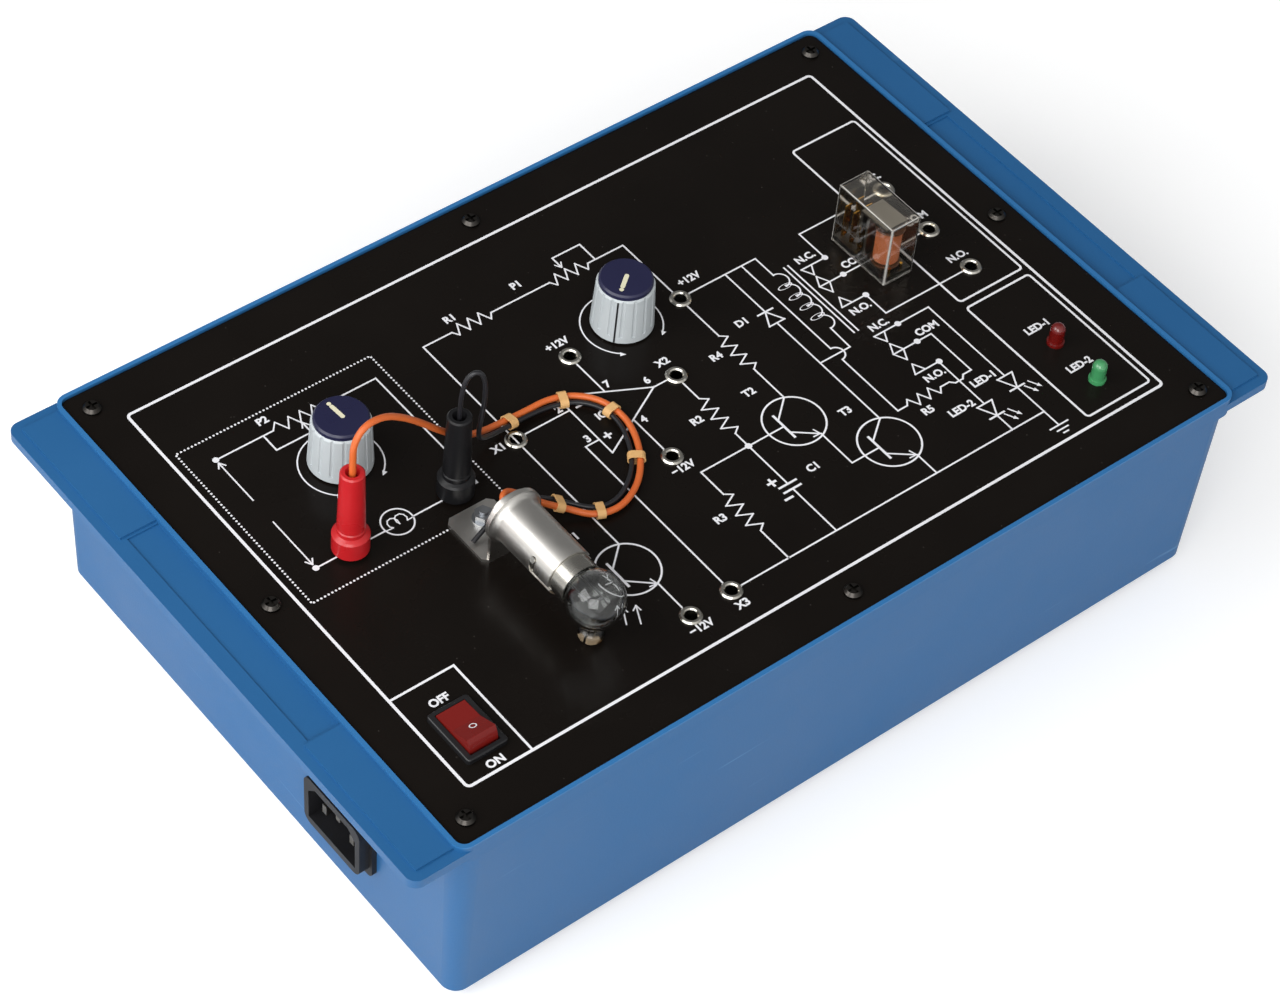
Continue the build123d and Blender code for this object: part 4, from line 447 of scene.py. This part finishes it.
# The light sensor's supply, the amplifier with its rail and the sensitivity control.
stroke([(-46.8, -41.0), (-46.8, 60.1), (-35.4, 60.1)])
resistor(-35.4, 60.1, -19.6, 60.1)
stroke([(-19.6, 60.1), (4.4, 60.1)])
resistor(4.4, 60.1, 20.2, 60.1)
stroke([(20.2, 60.1), (34.9, 60.1), (34.9, 33.8)])
stroke([(11.9, 64.0), (11.9, 68.5), (23.3, 68.5), (23.3, 60.1)])
open_arrow(11.9, 63.4, -90)
stroke([(34.9, 26.2), (34.9, 10.0)])
resistor(34.9, 10.0, 34.9, -7.8, -2.3)
stroke([(34.9, -7.8), (34.9, -22.9), (26.8, -29.6)])
stroke([(-10.8, 26.2), (-10.8, 11.6)])
stroke([(-10.8, -3.0), (-10.8, -18.4)])
stroke([(-25.0, 18.9), (-25.0, -10.2), (3.3, 4.4), (-25.0, 18.9)])
stroke([(-43.2, 11.7), (-25.0, 11.7)])
stroke([(-25.0, -3.4), (-30.4, -3.4), (-30.4, -71.6)])
stroke([(3.3, 4.4), (8.6, 4.4)])
stroke([(-22.4, 11.5), (-20.4, 11.5)], 0.8)
stroke([(-22.9, -3.5), (-20.5, -3.5)], 0.8)
stroke([(-21.7, -4.7), (-21.7, -2.3)], 0.8)
stroke([(12.1, 0.6), (12.1, -7.8)])
resistor(12.1, -7.8, 12.1, -26.0, -2.5)
stroke([(12.1, -26.0), (12.1, -51.8)])
dot(12.1, -32.5, 1.2)
stroke([(8.7, -51.8), (15.4, -51.8)], 0.8)
stroke([(8.7, -54.2), (15.4, -54.2)], 0.8)
stroke([(12.1, -54.2), (12.1, -75.3)])
stroke([(6.8, -48.6), (9.6, -48.6)], 0.9)
stroke([(8.2, -50.0), (8.2, -47.2)], 0.9)
stroke([(7.2, -56.7), (9.9, -56.7)], 0.9)
stroke([(-7.3, -43.6), (-7.3, -32.5), (26.8, -32.5)])
resistor(-7.3, -43.6, -7.3, -61.8, -2.5)
stroke([(-7.3, -61.8), (-7.3, -75.3)])
# The two switching transistors, and the one that senses the light.
arc(31.0, -32.5, 10.4, width=0.65)
stroke([(26.8, -27.2), (26.8, -37.8)], 0.9)
stroke([(26.8, -35.4), (34.6, -41.6), (34.6, -56.7), (46.0, -56.7)])
open_arrow(34.4, -41.4, -38, 2.6, 35)
arc(50.3, -56.7, 10.4, width=0.65)
stroke([(46.0, -51.4), (46.0, -62.0)], 0.9)
stroke([(46.0, -53.6), (54.2, -47.5)])
stroke([(46.0, -59.8), (53.9, -66.0), (53.9, -75.3)])
open_arrow(53.7, -65.8, -38, 2.6, 35)
arc(-50.8, -50.5, 10.3, width=0.65)
stroke([(-54.8, -45.2), (-54.8, -55.8)], 0.9)
stroke([(-58.8, -50.8), (-54.8, -50.8)], 0.5)
stroke([(-54.8, -47.9), (-46.8, -41.0)])
stroke([(-54.8, -53.3), (-46.8, -60.2), (-46.8, -72.2)])
open_arrow(-47.0, -60.0, -41, 2.6, 35)
for x0, y0, x1, y1 in ((-64.8, -67.3, -61.6, -61.4), (-61.0, -69.6, -57.8, -63.1)):
    stroke([(x0, y0), (x1, y1)], 0.5)
    open_arrow(x1, y1, 62, 2.2)
# The relay's coil, its flywheel diode and the rail that feeds both.
stroke([(54.3, -47.5), (54.3, 3.8)])
stroke([(54.3, 9.8), (54.3, 30.5)])
stroke([(51.2, 3.8), (57.6, 3.8), (54.3, 9.8), (51.2, 3.8)])
stroke([(51.2, 9.8), (57.4, 9.8)], 0.7)
stroke([(38.8, 30.5), (67.3, 30.5), (67.3, 21.1)])
for y in (18.0, 12.3, 6.8, 1.3, -4.8):
    arc(67.3, y, 3.4, -90, 90, 0.55, 0.9 if y > -4 and y < 17 else 0.95)
for y in (15.0, 9.5, 4.0, -1.5):
    arc(67.2, y, 2.7, width=0.5, flat=0.36)
stroke([(67.3, -7.9), (67.0, -18.0), (54.3, -18.0)])
for x in (72.4, 74.2):
    stroke([(x, 21.8), (x, -13.8)])
stroke([(61.3, 30.5), (61.3, -15.0)])
arc(61.3, -17.9, 2.9, -90, 90)
stroke([(61.3, -20.8), (61.3, -48.2), (65.3, -48.2)])
resistor(65.3, -48.2, 79.6, -48.2, -2.1, 6)
stroke(
    [
        (79.6, -48.2), (83.4, -48.2), (84.8, -49.6), (88.0, -49.6), (89.4, -48.2), (92.9, -48.2),
        (92.9, -28.6), (76.5, -28.6),
    ]
)
# Two sets of change-over contacts.
for closed, common, opened in ((17.8, 8.4, -3.0), (-19.0, -28.6, -39.4)):
    for y in (closed, common, opened):
        stroke([(76.5, y), (86.8, y)])
        dot(86.8, y, 1.15)
    for y, tip in ((closed, -4.1), (common, 4.3), (common, -4.3), (opened, 4.1)):
        stroke([(76.5, y), (78.7, y + tip), (80.9, y)], 0.55)
stroke([(86.8, 17.8), (86.8, 31.0), (120.8, 31.0)])
stroke([(86.8, 8.4), (120.4, 8.4)])
stroke([(86.8, -3.0), (86.8, -13.1), (120.4, -13.1)])
stroke([(86.8, -19.0), (100.2, -19.0), (100.2, -56.4)])
stroke([(86.6, -39.4), (86.4, -61.8)])
# The two indicator diodes and the earth rail.
for x, y in ((86.4, -61.8), (100.1, -56.4)):
    stroke([(x - 3.2, y), (x + 3.2, y), (x, y - 6.1), (x - 3.2, y)])
    stroke([(x - 3.0, y - 6.1), (x + 3.0, y - 6.1)], 0.7)
    stroke([(x, y - 6.1), (x, -75.3)])
    for shift in (0.0, 2.4):
        u, v = x + shift, y + shift * 0.4
        stroke([(u + 2.4, v - 7.0), (u + 4.2, v - 10.4)], 0.5)
        solid_arrow(u + 4.8, v - 11.4, -62, 1.8)
stroke([(-26.4, -75.3), (100.1, -75.3), (100.1, -82.4)])
for y, half in ((-82.4, 3.8), (-84.2, 2.3), (-85.8, 1.0)):
    stroke([(100.1 - half, y), (100.1 + half, y)])
for text, x, y in (
    ("P2", -107.2, 63.0), ("X1", -53.2, 11.6), ("R1", -32.3, 65.4), ("P1", -5.4, 65.4),
    ("+12V", -10.7, 36.8), ("+12V", 43.2, 35.7), ("X2", 12.5, 11.3), ("IC1", -17.0, 4.4),
    ("R2", 5.5, -14.8), ("R3", -14.5, -51.0), ("R4", 28.3, 3.3), ("D1", 45.0, 10.4),
    ("C1", 23.3, -51.0), ("T2", 27.0, -14.8), ("T3", 47.3, -38.7), ("−12V", -10.7, -27.8),
    ("−12V", -46.7, -81.1), ("X3", -30.5, -81.3), ("T1", -56.9, -30.8), ("R5", 69.5, -53.6),
    ("N.C.", 81.3, 21.5), ("COM", 93.5, 11.3), ("N.O.", 81.3, -6.7), ("N.C.", 81.3, -15.8),
    ("COM", 93.3, -26.0), ("N.O.", 81.5, -43.2), ("LED-1", 93.6, -53.5), ("LED-2", 79.0, -59.2),
    ("N.C.", 124.0, 37.5), ("COM", 124.4, 14.6), ("N.O.", 124.0, -6.7), ("LED-1", 124.0, -46.2),
    ("LED-2", 123.8, -66.7), ("2", -27.8, 14.0), ("3", -27.8, -1.1), ("6", 3.3, 7.9),
    ("7", -8.2, 13.9), ("4", -8.0, -4.7),
):
    letters(text, x, y)
# The turning arrows run round the back of both controls and point to their front.
for x, y in ((12.4, 32.4), (-97.1, 34.8)):
    arc(x, y, 13.6, -52, 232, 0.5)
    solid_arrow(x + 7.4, y - 11.8, 216, 2.0)
    solid_arrow(x - 7.4, y - 11.8, -36, 2.0)
shape("panel_print", ink, white_ink, "case", flat=True)


def plated(name, colour, rough, mark, depth, stretch=(1, 1, 1)):
    """Worked and plated metal: fine marks drawn out one way, and a shine that comes and
    goes. The mark's width and depth are in millimetres."""
    material, tree, shader, spot = new_finish(name)
    drift = add(tree, "ShaderNodeTexNoise", {}, {"Vector": spot, "Scale": 1000 / 9, "Detail": 4})
    fac = drift.outputs["Fac"]
    dulled = [c * 0.72 for c in tone(colour)[:3]] + [1]
    tarnish = add(tree, "ShaderNodeMix", two_colours, {0: fac, 6: tone(colour), 7: dulled})
    limits = {1: noise_low, 2: noise_high, 3: rough - 0.07, 4: rough + 0.09}
    gloss = add(tree, "ShaderNodeMapRange", {}, {0: fac, **limits})
    drawn = add(tree, "ShaderNodeMapping", {}, {"Vector": spot, "Scale": stretch}).outputs[0]
    marks = add(tree, "ShaderNodeTexNoise", {}, {"Vector": drawn, "Scale": 1000 / mark, "Detail": 2})
    height = {"Height": marks.outputs["Fac"], "Distance": depth / 1000, "Strength": 0.7}
    relief = add(tree, "ShaderNodeBump", {}, height)
    connect(tree, shader, {
        "Base Color": tarnish.outputs[2], "Roughness": gloss.outputs[0],
        "Normal": relief.outputs[0], "Metallic": 1.0,
    })
    return material


# Panel screws. Eight steel pan head screws with a cross recess hold the panel to the tub's
# bosses. They are plated black nickel, dark and glossy, and rubbed grey in places.
dress(plated("black_nickel_plate", "#4A4744", rough=0.3, mark=0.4, depth=0.01), "panel_screws")

# Feet and fixings. Four moulded rubber buttons, dull and black, each held to the tub by a
# screw. The screws, the bracket's bolt and the transformer's frame are steel, plated with
# zinc to a bluish grey.
rubber = moulded("moulded_black_rubber", "#161616", "#202020", grain=0.5, depth=0.04, rough=0.75)
dress(rubber, "rubber_feet")
zinc = plated("zinc_plate", "#B9BCC0", rough=0.34, mark=0.3, depth=0.01)
dress(zinc, "foot_screws", "inner_screws", "bracket_fixing", "transformer_frame")

# Mains inlet. A black glass-filled nylon moulding with a satin surface, seated in the left
# wall. Its three brass blades are nickel plated and have dulled with use.
soft_shine = {"Specular IOR Level": 0.3}
inlet_nylon = moulded(
    "moulded_black_nylon", "#121214", "#1A1A1D", grain=0.6, depth=0.03, rough=0.5, sockets=soft_shine
)
dress(inlet_nylon, "mains_inlet")
dress(plated("dulled_nickel_blade", "#77736C", rough=0.38, mark=0.3, depth=0.006), "inlet_pins")

# Sockets. Turned brass barrels, plated bright nickel, each clamped to the panel by a nut
# behind it. The lamp's plug pins and the board's spacers have the same plating.
nickel = plated("nickel_plated_brass", "#D8D4CA", rough=0.17, mark=0.25, depth=0.004, stretch=(1, 1, 8))
dress(nickel, "socket_barrels", "panel_nuts", "board_spacers", "plug_pins")

# Mains switch. A snap-in body of smooth black nylon with a red polycarbonate rocker. The
# back end is pressed down at rest, and the raised front end carries a small printed ring.
switch_nylon = moulded("moulded_switch_nylon", "#141416", "#1E1E20", grain=0.5, depth=0.02, rough=0.3)
dress(switch_nylon, "switch_housing")
rocker_shine = {"Specular IOR Level": 0.35}
rocker_red = moulded(
    "red_polycarbonate", "#6E1512", "#7B1B16", grain=1.5, depth=0.01, rough=0.3, sockets=rocker_shine
)
dress(rocker_red, "switch_rocker")
ring_inner, ring_outer = 0.85, 1.25
ring = bmesh.new()
edge = [ring.verts.new((radius, 0, 0)) for radius in (ring_inner, ring_outer)]
edge.append(ring.edges.new(edge))
bmesh.ops.spin(
    ring, geom=edge, axis=(0, 0, 1), cent=(0, 0, 0), angle=2 * pi, steps=32, use_merge=True
)
# The ring lies just clear of the rocker, where a line straight down meets it.
over_ring, clearance = Vector((-0.1277, -0.0737, 0.2)), 0.00004
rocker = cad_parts["switch_rocker"]
above = rocker.matrix_world.inverted() @ over_ring
_, touch, out, _ = rocker.ray_cast(above, Vector((0, 0, -1)))
turned = out.to_track_quat("Z", "Y").to_matrix().to_4x4()
where = Matrix.Translation(rocker.matrix_world @ (touch + out * clearance)) @ turned
bmesh.ops.transform(ring, matrix=where @ millimetres, verts=ring.verts)
shape("rocker_ring_mark", ring, white_ink, "rocker", flat=True)
# The terminals and the indicators' leads are copper, tinned to a soft silver.
tinned = plated("tinned_copper", "#C4C4C2", rough=0.3, mark=0.3, depth=0.006, stretch=(1, 1, 4))
dress(tinned, "switch_terminals", "led_leads")

# Control knobs. The skirt is light grey ABS, moulded with grooves above a plain band; the
# pushed-in cap is navy with a cream pointer. A black line on the skirt marks the same side.
knob_grey = moulded("moulded_grey_abs", "#C3C9CB", "#B7BEC1", grain=0.5, depth=0.02, rough=0.42)
dress(knob_grey, "intensity_knob", "sensitivity_knob")
navy = moulded("moulded_navy_abs", "#191A3A", "#1F2042", grain=0.6, depth=0.015, rough=0.3)
dress(navy, "intensity_knob_cap", "sensitivity_knob_cap")
# Behind the panel each control has a turned steel shaft and a pressed steel case.
shaft_steel = plated(
    "turned_shaft_steel", "#B4B2AE", rough=0.28, mark=0.2, depth=0.006, stretch=(1, 1, 0.1)
)
dress(shaft_steel, "intensity_shaft", "sensitivity_shaft")
case_steel = plated("pressed_case_steel", "#A8A8A4", rough=0.36, mark=0.4, depth=0.01)
dress(case_steel, "intensity_pot_case", "sensitivity_pot_case")
pointer_cream = moulded("cream_paint", "#E8E4C8", "#DAD5B4", grain=0.3, depth=0.01, rough=0.5)
black_paint = moulded("black_paint", "#121214", "#1A1A1C", grain=0.3, depth=0.01, rough=0.5)
pointer_height, pointer_width = 20.86, 1.5
for control, x, y, heading in (("intensity", -96.8, 35.6, 94), ("sensitivity", 12.8, 32.8, 217)):
    where = millimetres @ Matrix.Translation((x, y, panel_top))
    where = where @ Matrix.Rotation(radians(heading), 4, "Z")
    mark = bmesh.new()
    bar = Matrix.Translation((2.1, 0, 0)) @ Matrix.Diagonal((5.2, pointer_width, 1, 1))
    bmesh.ops.create_grid(mark, x_segments=1, y_segments=1, size=0.5, matrix=bar)
    for reach in (-0.5, 4.7, 6.1):
        end = Matrix.Translation((reach, 0, 0.01))
        radius = pointer_width / 2
        bmesh.ops.create_circle(mark, cap_ends=True, segments=24, radius=radius, matrix=end)
    raised = where @ Matrix.Translation((0, 0, pointer_height))
    bmesh.ops.transform(mark, matrix=raised, verts=mark.verts)
    shape(control + "_pointer", mark, pointer_cream, control + "_dial", flat=True)
    # The line leans with the skirt's taper.
    line = bmesh.new()
    lean = Matrix.Translation((10.04, 0, 9.5)) @ Matrix.Rotation(radians(-2.96), 4, "Y")
    strip = where @ lean @ Matrix.Diagonal((0.16, 0.6, 17.2, 1))
    bmesh.ops.create_cube(line, size=1, matrix=strip)
    shape(control + "_side_line", line, black_paint, control + "_dial")

# Indicators. Two 5 mm LEDs, red and green, cast in tinted epoxy round their leads. The
# epoxy is glossy and lets some light through.
tinted = {"Transmission Weight": 0.35, "Coat Weight": 0.6}
for node, colour, shade in (("red_led", "#84110C", "#740F0B"), ("green_led", "#58B878", "#429E62")):
    finish = "tinted_epoxy_" + node
    epoxy = moulded(finish, colour, shade, grain=2.0, depth=0.005, rough=0.12, sockets=tinted)
    dress(epoxy, node)


def clear(name, colour, rough, ior):
    """A clear moulding or blown glass, with faint flow lines that bend what is behind."""
    material, tree, shader, spot = new_finish(name)
    flow = add(tree, "ShaderNodeTexNoise", {}, {"Vector": spot, "Scale": 1000 / 5, "Detail": 1})
    fac = flow.outputs["Fac"]
    limits = {1: noise_low, 2: noise_high, 3: rough, 4: rough + 0.05}
    gloss = add(tree, "ShaderNodeMapRange", {}, {0: fac, **limits})
    waves = {"Height": fac, "Distance": 0.00003, "Strength": 0.2}
    relief = add(tree, "ShaderNodeBump", {}, waves)
    connect(tree, shader, {
        "Roughness": gloss.outputs[0], "Normal": relief.outputs[0], "Base Color": tone(colour),
        "Transmission Weight": 1.0, "IOR": ior,
    })
    return material


# Phototransistor. A clear epoxy body, slightly browned, cast round two gold plated leads. It
# is pushed through the panel below the lamp.
dress(clear("clear_epoxy", "#80705A", rough=0.06, ior=1.5), "phototransistor")
gold = plated("gold_plate", "#D9A94E", rough=0.2, mark=0.3, depth=0.004)
dress(gold, "phototransistor_leads")

# Lamp bracket and holder. Bent and spun mild steel with bright nickel plate, turned round
# the lamp's axis; the bracket shows its rolling marks.
bright = plated(
    "bright_nickel_steel", "#E6E3DD", rough=0.33, mark=0.5, depth=0.008, stretch=(1, 0.15, 1)
)
dress(bright, "lamp_bracket", "lamp_holder")
# Inside, a brown fibre washer insulates a plunger turned from brass.
fibre = moulded("brown_vulcanised_fibre", "#6B3A22", "#54301E", grain=0.6, depth=0.03, rough=0.6)
dress(fibre, "holder_insulator")
brass = plated("turned_brass", "#C9A45C", rough=0.25, mark=0.25, depth=0.005, stretch=(1, 0.2, 1))
dress(brass, "holder_plunger")


def helix(x, y, z, radius, pitch, turns, lying_down):
    """Points of a coil, in millimetres, upright from z or lying from y to the front."""
    steps = 16
    wide = radius / cos(pi / steps) ** 2
    points = []
    for i in range(steps * turns + 1):
        angle, climb = 2 * pi * i / steps, pitch * i / steps
        u, v = wide * cos(angle), wide * sin(angle)
        points.append((x + u, y - climb, z + v) if lying_down else (x + u, y + v, z + climb))
    return points


# Contact spring. Four open turns of plated steel wire, coiled round the plunger so that it
# presses on the lamp's centre contact.
coil = helix(-76.6, -26.75, 100.0, radius=3.2, pitch=1.6, turns=4, lying_down=True)
spring = wire_curve("holder_spring_wire", coil, radius=0.3)
spring.data.materials.append(bright)
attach(spring, "case")
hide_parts("holder_spring")

# Bulb. A bayonet bulb: blown clear globe cemented in a nickel plated brass cap, with a
# coiled tungsten filament across two support wires.
plated_cap = plated(
    "nickel_plated_cap", "#BDBAB2", rough=0.24, mark=0.3, depth=0.006, stretch=(1, 0.2, 1)
)
dress(plated_cap, "bulb_cap")
dress(clear("blown_glass", "#F2F4F3", rough=0.0, ior=1.45), "bulb_glass")
dress(plated("drawn_tungsten", "#6E6E70", rough=0.35, mark=0.2, depth=0.004), "bulb_filament")

# Plugs. Two handles of soft PVC, moulded over the plated pins. The red one is glossy and
# slightly rippled, the black one duller.
dress(moulded("red_moulded_pvc", "#B3161B", "#C4252A", grain=1.2, depth=0.03, rough=0.3), "red_plug")
black_plastic = moulded(
    "black_moulded_pvc", "#101012", "#18181A", grain=1.2, depth=0.03, rough=0.42, sockets=soft_shine
)
dress(black_plastic, "black_plug")

# Relay. A clear polycarbonate cover over a black nylon base, an iron yoke and armature,
# a bobbin close wound with enamelled copper wire, and contacts on upright blades.
cover = clear("clear_polycarbonate", "#F6F2EA", rough=0.03, ior=1.42)
# The cover's corners and top are made less clear, so the pale base shows: painted highlights
# along its edges and a painted hazy reflection on its top. Both are found from the distance to its
# faces.
tree = cover.node_tree
minus, size_of = {"operation": "SUBTRACT"}, {"operation": "ABSOLUTE"}
smaller, larger = {"operation": "MINIMUM"}, {"operation": "MAXIMUM"}
spot = add(tree, "ShaderNodeTexCoord", {}, {}).outputs["Object"]
axes = add(tree, "ShaderNodeSeparateXYZ", {}, {0: spot})
# The cover's middle and half width along each axis, in metres. Only its top counts in
# height, so there the middle is the table.
cover_sizes = ((0.1003, 0.00635), (0.0099, 0.0134), (0.0, 0.1077))
gaps = []
for axis, (middle, half) in zip(axes.outputs, cover_sizes):
    from_middle = add(tree, "ShaderNodeMath", minus, {0: axis, 1: middle})
    away = add(tree, "ShaderNodeMath", size_of, {0: from_middle.outputs[0]})
    gap = add(tree, "ShaderNodeMath", minus, {0: half, 1: away.outputs[0]})
    gaps.append(gap.outputs[0])
# A point is on an edge where its second nearest face is close too.
nearer = add(tree, "ShaderNodeMath", smaller, {0: gaps[0], 1: gaps[1]}).outputs[0]
farther = add(tree, "ShaderNodeMath", larger, {0: gaps[0], 1: gaps[1]}).outputs[0]
farther = add(tree, "ShaderNodeMath", smaller, {0: farther, 1: gaps[2]}).outputs[0]
second = add(tree, "ShaderNodeMath", larger, {0: nearer, 1: farther}).outputs[0]
# Painted highlight along the edges, and painted reflection haze on the top.
edge = add(tree, "ShaderNodeMapRange", {}, {0: second, 1: 0.0003, 2: 0.0009, 3: 0.4, 4: 0.0})
top = add(tree, "ShaderNodeMapRange", {}, {0: gaps[2], 1: 0.0001, 2: 0.0003, 3: 0.42, 4: 0.0})
painted_edge_glint_and_top_haze = add(tree, "ShaderNodeMath", larger, {0: edge.outputs[0], 1: top.outputs[0]})
clarity = add(tree, "ShaderNodeMath", minus, {0: 1.0, 1: painted_edge_glint_and_top_haze.outputs[0]})
connect(tree, tree.nodes["Principled BSDF"], {"Transmission Weight": clarity.outputs[0]})
dress(cover, "relay_cover")
base_nylon = moulded("black_relay_nylon", "#1B1B1D", "#262628", grain=0.5, depth=0.02, rough=0.4)
dress(base_nylon, "relay_base")
bobbin = moulded("brown_bobbin_nylon", "#5A3A2A", "#6A4632", grain=0.5, depth=0.02, rough=0.4)
dress(bobbin, "relay_former")
dress(plated("soft_iron", "#7F7C76", rough=0.36, mark=0.4, depth=0.01), "relay_yoke", "relay_armature")
dress(gold, "relay_contacts")
# The winding is 24 turns of copper wire whose clear enamel gives it a warm shine.
coated = {"Coat Weight": 0.4}
enamel = moulded(
    "enamelled_copper_wire", "#CC7440", "#BB6234", grain=0.8, depth=0.01, rough=0.3, sockets=coated
)
coil = helix(100.3, 3.6, 86.9, radius=3.72, pitch=0.57, turns=24, lying_down=False)
winding = wire_curve("relay_winding_wire", coil, radius=0.27)
winding.data.bevel_resolution = 2
winding.data.splines[0].resolution_u = 2
winding.data.materials.append(enamel)
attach(winding, "case")
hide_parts("relay_winding")

# Boards. Two boards of brown paper phenolic, one hung under the panel and one on the tub's
# floor. They carry dull black epoxy packages, bright aluminium cans and fins, and
# lacquered resistors, all soldered.
board = moulded("paper_phenolic_board", "#9A6B3A", "#87592C", grain=0.8, depth=0.02, rough=0.5)
dress(board, "control_board", "supply_board")
epoxy_black = moulded("moulded_black_epoxy", "#1C1C1E", "#28282A", grain=0.3, depth=0.02, rough=0.5)
dress(epoxy_black, "board_chip", "supply_semiconductors")
can = plated("drawn_aluminium_can", "#BDBEC0", rough=0.28, mark=0.3, depth=0.006, stretch=(1, 1, 0.2))
dress(can, "board_cans", "supply_capacitors", "supply_fins")
lacquer = moulded("lacquered_resistor", "#C7A477", "#B89062", grain=0.4, depth=0.02, rough=0.35)
dress(lacquer, "board_resistors")

# Transformer. Varnished steel laminations, dark and finely lined, stacked round a bobbin
# that is wrapped in glossy yellow polyester tape.
laminations = plated(
    "varnished_laminations", "#55575C", rough=0.45, mark=0.5, depth=0.05, stretch=(1, 1, 0.05)
)
dress(laminations, "transformer_core")
tape = moulded("yellow_polyester_tape", "#C3A13C", "#B59132", grain=0.8, depth=0.05, rough=0.3)
dress(tape, "transformer_coil")


# Bench and light. A pale matt floor under three soft lamps: a broad one at the front left, a
# small one low on the left and a weak one on the right, with a white surround.
material, tree, shader, _ = new_finish("matt_white_floor")
# The camera alone sees the floor a little brighter, so it comes out white and keeps its shadow.
seen = add(tree, "ShaderNodeLightPath", {}, {}).outputs["Is Camera Ray"]
glow = add(tree, "ShaderNodeMapRange", {}, {0: seen, 3: 0.0, 4: 0.3})
connect(tree, shader, {
    "Emission Strength": glow.outputs[0], "Base Color": tone("#F4F4F4"), "Roughness": 0.9,
    "Specular IOR Level": 0.1, "Emission Color": tone("#FFFFFF"),
})
floor = bmesh.new()
bmesh.ops.create_grid(floor, x_segments=1, y_segments=1, size=4)
mesh = bpy.data.meshes.new("floor")
floor.to_mesh(mesh)
floor.free()
mesh.materials.append(material)
floor = bpy.data.objects.new("floor", mesh)
bpy.context.scene.collection.objects.link(floor)
for name, at, aim, power, size in (
    ("front_left_lamp", (-1.3, -1.1, 1.1), (0, 0, 0.05), 16, 1.2),
    ("left_bench_lamp", (-0.85, 0.2, 0.7), (-0.42, 0.08, 0.0), 5, 0.7),
    ("right_lamp", (1.8, -1.0, 1.4), (0, 0, 0.05), 2, 1.4),
):
    lamp = bpy.data.lights.new(name, "AREA")
    lamp.energy, lamp.size = power, size
    holder = bpy.data.objects.new(name, lamp)
    turned = (Vector(at) - Vector(aim)).to_track_quat("Z", "Y").to_matrix().to_4x4()
    holder.matrix_world = Matrix.Translation(at) @ turned
    bpy.context.scene.collection.objects.link(holder)
# The surround is brightest at the left and front and dim behind. Seen straight, or through
# something clear, it is plain white.
world = bpy.data.worlds.new("white_surround")
world.use_nodes = True
tree = world.node_tree
outward = add(tree, "ShaderNodeTexCoord", {}, {}).outputs["Generated"]
bright_side = {0: outward, 1: (-0.83, -0.55, 0.1)}
towards = add(tree, "ShaderNodeVectorMath", {"operation": "DOT_PRODUCT"}, bright_side)
fall_off = {0: towards.outputs["Value"], 1: -0.35, 2: 0.75, 3: 0.2, 4: 1.15}
light = add(tree, "ShaderNodeMapRange", {}, fall_off)
ray = add(tree, "ShaderNodeLightPath", {}, {})
straight = {0: ray.outputs["Is Camera Ray"], 1: ray.outputs["Is Transmission Ray"]}
plain = add(tree, "ShaderNodeMath", larger, straight)
level = add(tree, "ShaderNodeMix", {}, {0: plain.outputs[0], 2: light.outputs[0], 3: 1.0})
tree.links.new(level.outputs[0], tree.nodes["Background"].inputs["Strength"])
tree.nodes["Background"].inputs["Color"].default_value = (1, 1, 1, 1)
bpy.context.scene.world = world
bpy.context.scene.view_settings.view_transform = "Standard"
